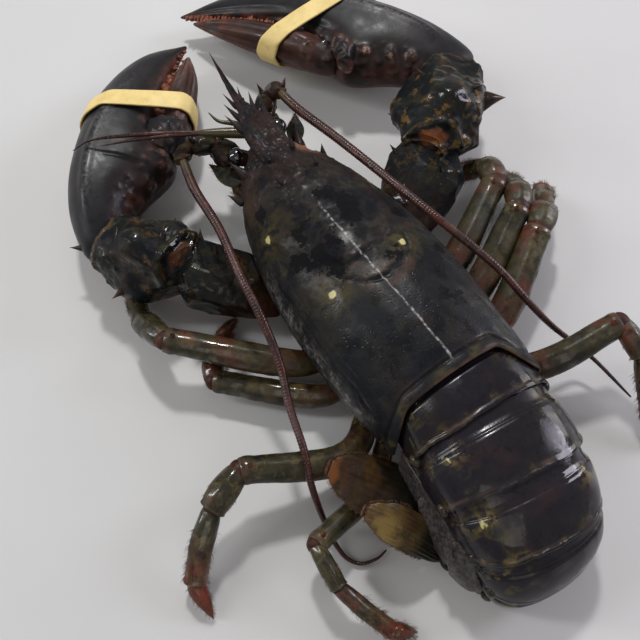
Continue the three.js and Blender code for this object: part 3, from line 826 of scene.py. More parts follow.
plain_finish("feeler", feeler_colour, damp(0.16, 0.42), fine_grain, 0.5, Coat_Weight=0.1,
             Coat_Roughness=0.2, Specular_IOR_Level=0.3)
plain_finish("fan", fan_colour, damp(0.08, 0.3), fine_grain, 0.5, Coat_Weight=0.12,
             Coat_Roughness=0.08, Specular_IOR_Level=0.25)
plain_finish("band", band_colour, damp(0.5, 0.66), fine_grain, 0.2)
plain_finish("pad", pad_colour, damp(0.42, 0.6), wrinkles, 0.12, Specular_IOR_Level=0.18)
plain_finish("hair", hair_colour, damp(0.4, 0.6))
plain_finish("eye", eye_colour, damp(0.04, 0.12), fine_grain, 0.1, Coat_Weight=0.8,
             Coat_Roughness=0.04)
print("finishes:", len(FINISHES))

# %% [markdown]
# ## The carapace
# One hard shell covers head and chest. Its rear edge is rimmed and reaches further back on the
# flanks, where it covers the side of the first tail ring. Two dark grooves cross its middle; the
# front one, the neck groove, runs forward down each flank. A pale seam marks the middle line,
# painted partly as the highlight along the ridge, and towards the head the shell gets rough with
# knobs. The shape is a loft with the frame's own widths, and every groove is a line on the unrolled
# surface.

# %% The carapace's shape
CARAPACE_LENGTH = 120
CARAPACE_HALF_WIDTH = 32.5
CARAPACE_AXIS_Z = 25
BACK_RISE = 29  # from the axis to the top of the back
FLANK_REACH = 12  # how far the rear edge runs back on the flanks


def scaled(shares, size):
    """Shares of a size, alone or with their places."""
    return [(v[0], v[1] * size) if isinstance(v, tuple) else v * size for v in shares]


back = loft(
    [(BODY_X, -1, CARAPACE_AXIS_Z), (BODY_X, 60, CARAPACE_AXIS_Z),
     (BODY_X, 122, CARAPACE_AXIS_Z + 4)],
    scaled([0.93, 1, 1, 0.95, 0.86, 0.7, 0.42], CARAPACE_HALF_WIDTH),
    top=scaled([0.93, 1, 1.01, 0.98, 0.88, 0.72, 0.5], BACK_RISE),
    bottom=scaled([1, 1, 1, 1, 1, 0.95, 0.8], 12.4),
    rows=270, columns=240, blunt=0.02, blunt_end=0.28, square=2.25,
)
turn = np.arccos(1 - 2 * back.place)
x = back.points[..., 0] - BODY_X
y = back.points[..., 1]
z = back.points[..., 2]
behind = fade(back.place, 0.0, 0.13)
flank = np.where(x > 0, ramp(x, 14, 25), 0.55 * ramp(-x, 20, 32)) * (0.35 + 0.65 * ramp(z, 13, 24))
inside = np.clip((0.955 - np.sin(turn) ** 0.02) / 0.955, 0, 1) * (back.place < 0.5)
back.points[..., 1] += -FLANK_REACH * behind * flank + 10 * inside**0.4
print("carapace grid", back.place.shape)

# %% [markdown]
# The carapace is unrolled to measure on it: the lean from the top, times the radius, gives
# millimetres across, and y gives millimetres along. In these two numbers the grooves are short
# lines through a few points.

# %% Grooves and seams of the carapace
lean = np.arctan2(x, z - CARAPACE_AXIS_Z)
# no groove is quite even
wander = 1.5 * noise(back.points, 5, 14) + 1.0 * noise(back.points, 1.9, 18)
unrolled = np.stack([np.abs(lean) * BACK_RISE, y + wander, 0 * y], -1)
neck = Route([(0, 51, 0), (9, 52, 0), (16, 57, 0), (23, 67, 0), (30, 80, 0), (36, 95, 0),
              (39, 110, 0)])
second = Route([(0, 39.5, 0), (7, 41, 0), (12, 45, 0), (15, 51, 0)])
gill = Route([(15, 42, 0), (13, 30, 0), (14, 14, 0), (17, 3, 0)])
top_side = ramp(z, 12, 17)
neck_gap = distance_to(unrolled, neck.points[::6])
second_gap = distance_to(unrolled, second.points[::6])
gill_gap = distance_to(unrolled, gill.points[::6])
to_edge = back.place * back.length
down_flank = ramp(unrolled[..., 0], 8, 17)
relief = -(1.05 - 0.87 * down_flank) * hump(neck_gap, 0, 0.6 + 1.2 * down_flank)
relief -= 0.85 * hump(second_gap, 0, 0.65)
relief -= 0.25 * hump(gill_gap, 0, 2.2)
relief += 0.3 * ramp(neck_gap, 1, 14) * ramp(y, 30, 60) * fade(y, 96, 118)
relief -= 0.55 * hump(to_edge, 4.4, 0.75) - 0.3 * hump(to_edge, 1.6, 1.4)
relief += 0.45 * hump(z, 17.0, 1.6) * (z < 24)
relief += 0.35 * uneven(back, 15, 5) + (0.07 + 0.1 * ramp(y, 40, 80)) * uneven(back, 3.2, 6)
keel = ramp(y, 80, 112) * hump(x, 0, 6.5) * (z > 30)
relief += 2.6 * keel
back.push(relief * top_side)
print("neck groove comes within", neck_gap.min().round(2), "mm of the grid")

# %% [markdown]
# The head end is rough. Two rows of blunt knobs carry the edges of the beak back over the
# carapace, and small ones are scattered between them and on the cheeks. A seeded draw places
# them, so they are the same at every run.

# %% Knobs of the head
draw = np.random.default_rng(11)
centres, radii, heights = [], [], []


def on_back(across, along):
    """The carapace's point at millimetres across the unrolled surface and along it."""
    gap = (lean * BACK_RISE - across) ** 2 + (y - along) ** 2 + 1e6 * (z < 14)
    return back.points[np.unravel_index(gap.argmin(), gap.shape)]


for side in (-1, 1):
    for step in np.linspace(0, 1, 13):
        centres.append(on_back(side * (4.5 + 6.5 * step), 117 - 34 * step))
        radii.append(1.5 - 0.5 * step)
        heights.append(1.35 - 0.8 * step)
for _ in range(520):
    along = 62 + 58 * draw.random() ** 0.6
    across = draw.normal(0, 15)
    if abs(across) < 46:
        centres.append(on_back(across, along))
        radii.append(draw.uniform(0.5, 1.15))
        heights.append(draw.uniform(0.10, 0.22) + 0.26 * ramp(along, 84, 112))
back.push(knobs(back, centres, radii, heights))
sockets = [(-9.5, 123, 35), (14, 126, 35)]
back.push(-knobs(back, sockets, 5.5, 2.6))
print("knobs on the head:", len(centres))

# %% [markdown]
# The marks of the carapace say where the finish changes: the pale seam, painted partly as the
# highlight along the ridge, a grey band of painted sheen low on each flank, the rear rim, the dark
# grooves, cream spots where muscles join on, brown towards the head and pale below. The seam is
# kept as a signed distance, because that stays sharp between the points of the grid.

# %% Marks of the carapace
def spots_on_back(size, strength, *places):
    """Soft round marks at places given across and along the unrolled surface."""
    return knobs(back, [on_back(*place) for place in places], size, strength)


along_flank = ramp(y, 2, 12) * fade(y, 62, 78)
seam_x = np.interp(y, (1, 51, 76), (-1.0, -2.8, -2.7)) - 0.35 * noise(back.points, 2.2, 15)
seam = (x - seam_x) / (3.4 + 1.6 * noise(back.points, 4, 19))
# the pale seam line, painted partly as the highlight that runs along the ridge
back.mark(line=np.where(z > 42, np.clip(seam + 0.5, 0, 1), 0.5))
back.mark(lined=0.9 * (z > 42) * ramp(y, 1, 5) * fade(y, 70, 79))
# painted sheen: a grey band low on each flank stands in for the reflection on the turned-down side;
# a real groove line runs just above it
sheen_and_groove_height = (z - 31 - 2.5 * noise(back.points, 9, 16)) * np.where(x < 0, 1, 1.6)
back.mark(lined=0.6 * hump(sheen_and_groove_height, 0, 4.2) * along_flank * patches(back, 3, 17, -0.7, 0.6) * (z < 42))
back.push(-0.35 * hump(sheen_and_groove_height, 6.5, 0.8) * along_flank)
rear_rim = np.clip(hump(to_edge, 0.7, 0.55) + 0.12 * hump(to_edge, 5.6, 0.5), 0, 1)
back.mark(rim=rear_rim * ramp(z, 15, 30) * patches(back, 5, 23, -0.6, 0.3))
back.mark(olive=0.8 * (to_edge < 5.2) * patches(back, 4, 24, -0.1, 0.5) * (z > 20))
back.mark(rough=0.5 * (to_edge < 5))
frayed = 1.2 + 0.9 * noise(back.points, 2.0, 20)
back.mark(groove=np.clip(hump(neck_gap, 0, frayed) * (1 - 0.75 * down_flank), 0, 1) * top_side)
back.mark(groove=np.clip(0.95 * hump(second_gap, 0, frayed), 0, 1) * top_side)
back.mark(groove=hump(to_edge, 4.4, 0.6) * (to_edge > 2) * top_side)
back.mark(groove=0.8 * hump(sheen_and_groove_height, 6.5, 0.7) * along_flank)
BLOTCHES = [(4, 66), (-8, 61), (7, 72), (2, 80), (12, 22), (17, 38), (-16, 58), (-14, 72),
            (22, 60), (-12, 50), (-22, 64), (6, 45), (24, 42), (-24, 90)]
back.mark(blotch=np.clip(spots_on_back(5.0, 0.6, *BLOTCHES), 0, 0.6))
beside = hump(np.minimum(neck_gap, second_gap), 2.8, 1.2) * (1 - down_flank)
back.mark(rim=0.6 * beside * patches(back, 3.5, 25, -0.3, 0.4))
CREAM_SPOTS = [(-27, 80.3), (-18.5, 45.2), (11.8, 47.2), (27, 80)]
back.mark(cream=spots_on_back(1.6, 1.0, *CREAM_SPOTS))
back.mark(olive=np.clip(spots_on_back(6.5, 1.2, *CREAM_SPOTS), 0, 1))
back.mark(fleck=np.clip(spots_on_back(9, 1, *CREAM_SPOTS), 0, 1))
back.mark(olive=0.5 * patches(back, 6, 9, 0.15, 0.6) * ramp(unrolled[..., 0], 8, 22)
          * ramp(y, 35, 60))
back.mark(rough=np.clip(spots_on_back(9, 1.3, (-3, 58), (4, 62)), 0, 1))
back.mark(rough=ramp(y, 44, 74) + 0.6 * patches(back, 12, 12, 0.0, 0.5))
back.mark(warm=0.7 * ramp(y, 62, 112) + 0.35 * patches(back, 9, 3, 0.2, 0.7))
back.mark(under=0.8 * spots_on_back(4.2, 1.0, (16, 109), (21, 106)))
back.mark(under=0.12 * spots_on_back(5.0, 1.0, (-25, 104), (-29, 98)))
back.mark(under=fade(z, 12.8, 15.5), fleck=0.7 * ramp(y, 38, 70) * patches(back, 12, 13, -0.4, 0.3))
print("marks:", ", ".join(back.marks))

# %% [markdown]
# ## The beak
# The rostrum is a long sharp beak between the eyes, flat with raised edges and a trough down its
# middle. Three pairs of spines stand on its edges and four more pairs behind it, the stoutest
# beside the eyes. It belongs to the carapace, so it is joined into the same piece.

# %% The beak and its spines
BEAK_LENGTH = 42
beak = loft(
    [(BODY_X, 98, 43.5), (BODY_X, 113, 46), (BODY_X + 1, 137.5, 46.5),
     (BODY_X + 3, CARAPACE_LENGTH + BEAK_LENGTH, 51)],
    [(0, 8.6), (0.24, 8.0), (0.40, 6.2), (0.48, 4.4), (0.54, 2.7), (0.6, 1.9), (0.75, 1.25),
     (0.9, 0.75), (1, 0.3)],
    top=[(0, 3.0), (0.3, 3.2), (0.48, 2.6), (0.6, 1.7), (0.8, 1.0), (1, 0.3)],
    rows=220, columns=72, blunt=0.6, blunt_end=0.7, square=2.2,
)
over = hump(beak.angle, math.pi / 2, 0.55)
beak.push(-1.5 * over * (1 - beak.place) ** 0.5 * ramp(beak.place, 0.05, 0.3))
beak_knobs = [beak.spot(p, a + draw.normal(0, 6))[0] for p in np.linspace(0.06, 0.6, 24)
              for a in (30, 55, 80, 105, 130, 152)]
sizes = draw.uniform(0.45, 1.0, len(beak_knobs))
beak.push(knobs(beak, beak_knobs, sizes, 0.6 * sizes) + 0.1 * uneven(beak, 2.4, 21))
beak.mark(warm=0.75, rough=1.0, under=0.7 * underside(beak, -0.8, -0.2))
# the root's place to the side, along and up, the tip's, the size, and how deep the root is sunk
HEAD_SPINES = [
    ((13, 113, 38), (15.5, 119.5, 40), 2.6, 4), ((20, 107, 33), (22, 111, 33.5), 1.8, 3),
    ((5.5, 106, 48.5), (6.5, 111, 51), 1.2, 1), ((8, 94, 50), (9, 98, 51.5), 1.0, 1),
]
head_spines = []
for side in (-1, 1):
    for along, reach, size in ((127, 5.6, 1.7), (133, 3.6, 1.4), (139, 1.8, 1.0)):
        middle_x = BODY_X + 0.02 * (along - 120)
        base = (middle_x + side * reach, along - 2, 46.5)
        tip = (middle_x + side * (reach + 1.5 * size), along + 3.4 * size, 49)
        head_spines.append(spike(base, tip, size, root=2))
    for (near, *low), (far, *high), size, sunk in HEAD_SPINES:
        base, tip = (BODY_X + side * near, *low), (BODY_X + side * far, *high)
        head_spines.append(spike(base, tip, size, root=sunk))
for spine in head_spines:
    spine.mark(warm=0.6 + 0.4 * spine.place, rough=0.6)
make_piece("carapace", [back, beak, *head_spines], "back shell")
print("spines on the head:", len(head_spines))

# %% [markdown]
# ## The tail rings
# Six rings bend down and under. Each slides beneath the one before it: its front third is a lower,
# polished step, then comes a groove, and the raised rear part ends in a thin pale margin that
# covers the next ring. The rings follow two lines, one along the back of the tail and one along
# its belly.

# %% One tail ring
tail_back = Route([(1.5, 4, 49), (1.2, -16, 48.5), (-1.5, -40, 46), (-4.5, -61, 36),
                   (-6.5, -71.5, 18), (-8.5, -66, 0.5), (-12, -44, 0.5)])
tail_belly = Route([(1.5, 4, 16), (1.2, -14, 15), (-1, -28, 14.5), (-3.5, -40, 15),
                    (-6, -48, 14.5), (-9, -48, 11), (-13, -40, 8.5)])
RINGS = 6
TAIL_HALF_WIDTH = 27
STEP_END = 0.27  # where the polished step of a ring ends
tail_width = profile([0.93, 1, 1, 0.92, 0.82, 0.7, 0.55], TAIL_HALF_WIDTH)


def tail_frame(at):
    """Middle, back, belly and side directions of the tail at shares of its line."""
    top, way = tail_back.read(at, by_knot=True)
    root, _ = tail_belly.read(at, by_knot=True)
    middle = root + 0.42 * (top - root)
    side = unit(np.cross(way, top - middle))
    return middle, top - middle, root - middle, side, way


def tail_ring(index):
    rows, columns = int(110 * FINE), int(190 * FINE) // 2 * 2
    start = -0.13 if index else 0.03
    share = np.concatenate([[start + 0.2, start + 0.03], np.linspace(start, 1.035, rows),
                            [1.03, 1.0, 0.6]])
    size = np.concatenate([[0, 0.86], np.full(rows, 1.0), [0.975, 0.94, 0]])
    step = 0.955 + 0.045 * ramp(share, STEP_END - 0.10, STEP_END + 0.08)
    swell = 0.012 * np.sin(np.pi * np.clip((share - STEP_END) / (1 - STEP_END), 0, 1))
    flare = 0.014 * ramp(share, 0.93, 1.0)
    size = size * (step + swell + flare) if index < RINGS - 1 else size * (step + swell)
    at = np.clip((index + share) / RINGS, 0.0, 1.0)
    middle, crown, root, side, _ = tail_frame(at)
    angle = np.linspace(0, 2 * math.pi, columns, endpoint=False)
    across = power(np.cos(angle), 0.85) * tail_width(at)[:, None] * size[:, None]
    rise = power(np.sin(angle), 0.9) * size[:, None]
    upright = np.where(rise[..., None] > 0, crown[:, None], root[:, None])
    points = middle[:, None] + across[..., None] * side[:, None] + np.abs(rise)[..., None] * upright
    places, angles = np.meshgrid(share, angle, indexing="ij")
    ring = Skin(points, places, angles, 29.0)
    over = np.sin(angles)
    groove = hump(places, STEP_END, 0.02) * ramp(over, -0.2, 0.1)
    ring.push(-0.16 * groove + 0.12 * uneven(ring, 12, 30 + index)
              + 0.03 * uneven(ring, 2.5, 40 + index))
    sway = 0.5 * noise(points, 7, 45 + index) + 0.3 * noise(points, 2, 47 + index)
    ring.points += tail_frame(at)[4][:, None] * (sway * ramp(places, 0.85, 0.97))[..., None]
    ring.stay_above(0.35)
    return ring


def mark_ring(ring, index):
    """Pale margin, partly painted highlight, olive flames on the shoulders and a brown cast low on
    the flanks.
    """
    over = np.sin(ring.angle)
    # the pale margin line, strongest on the third ring, where it is a painted highlight along the
    # margin
    pale_margin_and_sheen = (0.1, 0.25, 0.6, 0.3, 0.2, 0.2)[index]
    ring.mark(line=np.clip((ring.place - 0.985) * ring.length / 3 + 0.5, 0, 1))
    ring.mark(lined=pale_margin_and_sheen * (over > -0.5) * patches(ring, 6, 55 + index, -0.3, 0.5))
    worn = patches(ring, 7, 75 + index, -0.5, 0.3)
    ring.mark(groove=0.7 * worn * hump(ring.place, STEP_END, 0.016) * ramp(over, 0.0, 0.3))
    ring.mark(rim=hump(ring.place, 0.955, 0.03) * patches(ring, 5, 58 + index, -0.6, 0.4)
              * (1.0, 0.8, 0.4, 0.3, 0.3, 0.3)[index])
    shoulder = hump(np.abs(np.cos(ring.angle)), 0.72, 0.2) * (over > 0)
    flames = ramp(noise(ring.points * np.array([1, 1.6, 1]), 5, 50 + index), 0.05, 0.45)
    front = hump(ring.place, STEP_END + 0.06, 0.16)
    ring.mark(olive=np.clip(1.3 * shoulder * flames, 0, 1),
              fleck=np.clip(1.5 * shoulder * front, 0, 1))
    rear = hump(ring.place, 0.93, 0.07) * (over > -0.2) * patches(ring, 4, 65 + index, 0.0, 0.4)
    ring.mark(fleck=rear, olive=0.6 * rear)
    ring.mark(cream=0.5 * shoulder * front * patches(ring, 2.2, 60 + index, 0.3, 0.6))
    ring.mark(warm=0.5 * patches(ring, 8, 70 + index, 0.1, 0.7) * ramp(over, -0.2, 0.3))
    ring.mark(under=fade(over, -0.62, -0.3), groove=(0.45, 0.25, 0.1, 0, 0, 0)[index])
    return ring


print("the tail's back line is", tail_back.length.round(), "mm long")

# %% [markdown]
# Each ring has a plate hanging down on either side, square-cornered with a pale edge, and a small
# hinge knob above it. They are lofts set on the side of the ring, so they turn with it as the tail
# bends.


# %% Side plates and hinge knobs
PLATE_SPREAD = {1: (0.965, 1.03, 1.04), 2: (0.965, 1.12, 1.17), 3: (0.965, 1.15, 1.24),
                4: (0.95, 0.99, 0.98)}


def side_plate(index, side):
    """The plate at one side of a ring. side is 1 on the animal's right."""
    at = np.array([(index + 0.42) / RINGS, (index + 0.66) / RINGS, (index + 0.80) / RINGS])
    middle, _, root, out, _ = tail_frame(at)
    down = unit(root)
    reach = tail_width(at)[:, None]
    hang = np.array([[0.12], [0.75], [1.12]]) * np.linalg.norm(root, axis=1)[:, None]
    spread = np.array(PLATE_SPREAD[index])[:, None]
    path = middle + side * out * reach * spread + down * hang
    path[:, 2] = np.maximum(path[:, 2], 1.6)
    widths = scaled([0.95, 1.0, 0.98, 0.8], 12.5 if index < 3 else 10.0)
    plate = loft(path, widths, top=[1.5, 1.2, 0.9, 0.5], rows=50, columns=56, blunt=0.15,
                 blunt_end=0.22, square=3.2, up=side * out[1])
    plate.push(0.1 * uneven(plate, 5, 80 + index))
    edge = np.abs(np.cos(plate.angle))
    border = np.maximum(ramp(edge, 0.965, 0.995), ramp(plate.place, 0.975, 0.995))
    plate.mark(line=0.5, lined=0.13 + 0.3 * border, rim=0.2 + 0.25 * border, rough=0.3)
    plate.stay_above(0.35)
    return plate


def hinge_knob(index, side):
    at = np.array([(index + 0.02) / RINGS])
    middle, crown, _, out, way = tail_frame(at)
    centre = middle + side * out * tail_width(at)[:, None] * 0.965 + crown * 0.16
    knob = pad(centre[0], way[0], 2.6, 2.2, 2.2, rows=20, columns=20)
    return knob.mark(olive=0.6)


for index in range(RINGS):
    skins = [mark_ring(tail_ring(index), index)]
    if index > 0:
        skins += [side_plate(index, s) for s in (-1, 1)] if index < 5 else []
        skins += [hinge_knob(index, s) for s in (-1, 1)]
    make_piece(f"abdomen_{index + 1}", skins, "tail shell")
print("rings and plates done:", len(made), "pieces")

# %% [markdown]
# ## The tail fan
# The fan lies back down under the body, so its middle plate and right half are hidden and its left
# half shows beside the tail. Each plate is thin, ribbed lengthwise and fringed with fine hair. The
# two left plates curl up at the free edge.


# %% Fan plates
def fan_plate(seed, root, tip, half_width, lift=0.0, bend=0.0, pale=0.0):
    """A thin ribbed plate. lift raises its middle, bend tilts it, and pale is how amber it is."""
    root, tip = np.array(root, float), np.array(tip, float)
    middle = (root + tip) / 2 + np.array([0, 0, lift])
    plate = loft([root, middle, tip], scaled([0.3, 0.72, 0.95, 1, 0.86], half_width),
                 top=[1.6, 1.25, 1.0, 0.8, 0.55], rows=110, columns=100, blunt=0.45, blunt_end=0.75,
                 up=(bend, 0, 1))
    across = np.cos(plate.angle) * np.sin(np.pi * np.clip(plate.place, 0, 1)) ** 0.4
    ribs = np.cos(across * 30) * ramp(plate.place, 0.1, 0.3)
    plate.push(0.07 * ribs + 0.45 * hump(across, 0, 0.10) * (1 - plate.place)
               + 0.4 * uneven(plate, 7, seed))
    reach = np.maximum(np.abs(across) ** 4, ramp(plate.place, 0.55, 1.0))
    frayed = reach + 0.05 * noise(plate.points, 4, seed + 7)
    plate.mark(rim=(1 - 0.85 * pale) * ramp(frayed, 0.9, 1.0))
    plate.mark(groove=0.8 * (1 - pale) * ramp(reach, 0.5, 0.72) * fade(reach, 0.74, 0.86))
    # painted shade: the plate darkens towards its root, where it lies under the body
    plate.mark(olive=0.97 * fade(plate.place, 0.48 - 0.1 * pale, 0.8 - 0.1 * pale))
    plate.mark(cream=pale * patches(plate, 9, seed, -0.5, 0.3))
    plate.stay_above(0.25)
    return plate


FRINGE_LENGTH = 1.4  # millimetres


def fringe(plate, seed):
    """Hair round the free end of a plate."""
    normals = plate.normals()
    edge = (np.abs(np.sin(plate.angle)) < 0.12) & (plate.place > 0.35) & (plate.place < 0.999)
    edge |= (plate.place > 0.992) & (plate.place < 0.9995)
    roots = plate.points[edge]
    _, way = Route([plate.points[0, 0], plate.points[-1, 0]]).read(np.array([0.5]))
    ways = unit(normals[edge]) + way * 0.9
    pick = np.random.default_rng(seed).permutation(len(roots))[:500]
    return Hairs(roots[pick], ways[pick], FRINGE_LENGTH, 0.11, seed, spread=0.12)


FAN = {
    "telson": dict(root=(-14, -38, 6.6), tip=(-16, -3, 7.6), half_width=10),
    "uropod_left_inner": dict(root=(-19, -38, 5.6), tip=(-48, 3, 23), half_width=11.5, lift=2,
                              bend=0.1, pale=0.18),
    "uropod_left_outer": dict(root=(-29, -43, 5), tip=(-47, -16, 24), half_width=7.2, lift=6,
                              bend=-0.1, pale=1.0),
    "uropod_right_inner": dict(root=(-6, -40, 4.2), tip=(3, -5, 4.8), half_width=9.5),
    "uropod_right_outer": dict(root=(0, -42, 1.7), tip=(17, -10, 2), half_width=8),
}
fringes = []
for seed, (name, shape) in enumerate(FAN.items()):
    plate = fan_plate(90 + seed, **shape)
    fringes.append(fringe(plate, seed))
    base = pad(np.array(shape["root"]) + (0, 0, 0.4), np.array(shape["tip"]) - shape["root"], 5,
               4.2, 1.9)
    # the root pad in the same painted shade
    base.mark(olive=1.0)
    base.stay_above(0.25)
    make_piece(name, [plate, base], "fan")
print("fan plates:", len(FAN))

# %% [markdown]
# ## The claws
# The left claw is the crusher, thick with blunt grinding teeth; the right one is the slimmer
# cutter with a row of fine sharp teeth. Each palm runs on into a fixed finger, and a moving finger
# closes on it. The outer side is smooth, while the inner side near the hinge has rows of knobs.
# Both are lofts along a bent line, with the knobs as relief and the teeth as small cones and lumps
# joined in.

# %% Palms
CLAW_HALF_DEPTH = 17
CUTTER_HALF_DEPTH = 15.5
crusher_path = [(-72, 124, 19), (-61, 145, 18.5), (-47, 163, 18), (-28, 180, 18), (-7, 196, 17),
                (13, 204.5, 14)]
cutter_path = [(99, 114, 22), (91, 139, 21), (77, 164, 19), (56, 192, 17), (38, 212, 14),
               (22, 226, 10)]
crusher = loft(
    crusher_path, left=[(0, 9), (0.18, 13), (0.4, 15), (0.6, 16), (0.82, 11), (1, 2)],
    right=[(0, 10), (0.2, 18), (0.38, 28), (0.5, 20), (0.6, 14), (0.82, 10.3), (1, 2)],
    top=scaled([(0, 0.6), (0.2, 0.95), (0.4, 1), (0.6, 0.85), (0.85, 0.5), (1, 0.15)],
               CLAW_HALF_DEPTH),
    rows=230, columns=150, blunt=0.26, blunt_end=0.6,
)
cutter = loft(
    cutter_path,
    right=[(0, 19), (0.06, 18), (0.2, 16.6), (0.4, 17.2), (0.62, 17.6), (0.83, 12), (1, 2)],
    left=[(0, 11), (0.18, 20), (0.36, 27), (0.46, 19), (0.62, 10), (0.83, 6.5), (1, 1.5)],
    top=scaled([(0, 0.65), (0.2, 0.95), (0.4, 1), (0.62, 0.8), (0.85, 0.45), (1, 0.12)],
               CUTTER_HALF_DEPTH),
    rows=230, columns=140, blunt=0.26, blunt_end=0.6,
)


def inner_angle(skin, inward):
    """Degrees from the claw's inner side: 0 faces the moving finger, positive is up."""
    turned = skin.angle if inward == 0 else math.pi - skin.angle
    return np.degrees((turned + math.pi) % (2 * math.pi) - math.pi)


CRUSHER_SEED, CUTTER_SEED = 101, 131
# a painted highlight streak along the claw's outer side: its angle, half width and strength
PAINTED_STREAKS = {CRUSHER_SEED: (98, 10, 0.2), CUTTER_SEED: (102, 4, 0.3)}
BRIGHT_KNOBS = {
    CRUSHER_SEED: [(0.34, 24), (0.40, 30), (0.26, 18), (0.46, 12)],
    CUTTER_SEED: [(0.36, 42), (0.29, 44), (0.21, 46), (0.14, 48)],
}
KNOB_ROWS = [(0.07, 0.40, 7, 2.3, 8), (0.10, 0.46, 9, 1.7, 30), (0.30, 0.52, 7, 1.6, 46)]


def shape_palm(palm, inward, seed):
    """Knobs on the inner side, ridges along the finger and slow dents all over."""
    tilt = inner_angle(palm, inward)

    def on_inner(place, turn):
        return palm.spot(place, turn if inward == 0 else 180 - turn)[0]

    dots = np.random.default_rng(seed)
    centres, radii, heights = [], [], []
    for low, high, count, size, row_turn in KNOB_ROWS:
        for place in np.linspace(low, high, count):
            turn = row_turn + dots.normal(0, 3)
            centres.append(on_inner(place + dots.normal(0, 0.006), turn))
            radii.append(size * dots.uniform(0.8, 1.15))
            heights.append(0.42 * size * dots.uniform(0.7, 1.1))
    for _ in range(70):
        place, turn = dots.uniform(0.04, 0.62), dots.uniform(-25, 60)
        centres.append(on_inner(place, turn))
        radii.append(dots.uniform(0.5, 1.0))
        heights.append(dots.uniform(0.12, 0.35))
    ridges = np.cos(np.radians(tilt) * 9) * ramp(palm.place, 0.55, 0.66)
    ridges *= fade(np.abs(tilt), 55, 80) * fade(palm.place, 0.93, 0.99)
    crease = -0.9 * hump(tilt + 60 * (palm.place - 0.3), 62, 7) * ramp(palm.place, 0.36, 0.48)
    crease *= fade(palm.place, 0.6, 0.75) * (inward != 0)
    # painted highlight: a pale streak along the outer side, where a window would shine
    lane, spread, strength = PAINTED_STREAKS[seed]
    painted_streak = hump(tilt, lane + 5 * noise(palm.points, 14, seed), spread)
    painted_streak *= ramp(palm.place, 0.05, 0.3) * fade(palm.place, 0.55, 0.78)
    palm.mark(line=0.5, lined=strength * painted_streak)
    ridge = hump(tilt, 104, 11) * ramp(palm.place, 0.03, 0.2) * fade(palm.place, 0.5, 0.66)
    palm.push(knobs(palm, centres, radii, heights) + 0.22 * ridges + crease + 1.3 * ridge)
    palm.push((0.3 - 0.18 * ramp(tilt, 60, 90)) * uneven(palm, 17, seed)
              + 0.04 * uneven(palm, 3, seed + 1))
    inner = fade(tilt * np.sign(tilt + 1e-9), 25, 75)
    palm.mark(warm=np.clip(inner * 0.8 + ramp(palm.place, 0.88, 0.99), 0, 1))
    lip = ramp(palm.place, 0.54, 0.64) * fade(np.abs(tilt - 15), 12, 42)
    palm.mark(warm=lip, rim=0.5 * lip * patches(palm, 2.5, seed + 5, -0.5, 0.5))
    palm.mark(groove=0.75 * patches(palm, 7, seed + 2, 0.15, 0.5) * fade(np.abs(tilt - 25), 25, 50))
    bright = [on_inner(place, turn) for place, turn in BRIGHT_KNOBS[seed]]
    palm.push(knobs(palm, bright, 2.3, 1.5))
    palm.mark(fleck=np.clip(knobs(palm, bright, 2.1, 2.2), 0, 1))
    palm.mark(groove=0.8 * np.clip(knobs(palm, bright, 4.2, 1.6), 0, 1)
              * (knobs(palm, bright, 2.1, 2.2) < 0.3))
    in_rows = sum(row[2] for row in KNOB_ROWS)
    tops = knobs(palm, centres[:in_rows], np.array(radii[:in_rows]) * 0.75, 0.8)
    palm.mark(rim=np.clip(tops * 0.18 * (1 + noise(palm.points, 4, seed + 3)), 0, 0.8))
    palm.mark(under=underside(palm, -0.75, -0.05 if inward else -0.25))


shape_palm(crusher, 0, CRUSHER_SEED)
shape_palm(cutter, 180, CUTTER_SEED)
crusher_spines = [
    spike((-75, 130, 19.5), (-80.3, 134, 19.5), 3.2, root=6),
    spike((-74, 121, 26), (-76, 119, 27.5), 2.0, root=6),
]
cutter_spines = [
    spike((103, 118, 25), (107.5, 118, 26.5), 2.4, root=6),
    spike((103, 113, 17), (106, 110.5, 16.5), 2.0, root=6),
]
print("palms:", crusher.length.round(), "and", cutter.length.round(), "mm along")

# %% [markdown]
# The fingers are red-brown. Each has lengthwise ridges with darker lines between, a hooked tip and
# its own teeth. The knobbly hinge where it turns is a cluster of lumps at its root.

# %% Fingers and teeth
crusher_finger = loft([(-24, 149, 20), (-11, 164.5, 20), (0.5, 180, 18.5), (10, 197, 15)],
                      left=[8, 8, 7.6, 2.4], right=[5, 4.2, 4, 1.8], top=[10, 11, 8, 2.5],
                      rows=170, columns=110, blunt=0.35, blunt_end=0.6)
cutter_finger = loft([(59, 149, 22), (52, 165, 21.5), (43, 184, 19), (34, 201, 16), (24, 217, 12)],
                     left=[7, 7.5, 7, 6, 1.5], right=[7, 8, 6, 4, 1.5], top=[9, 9.5, 8, 5.5, 2],
                     rows=180, columns=110, blunt=0.35, blunt_end=0.6)


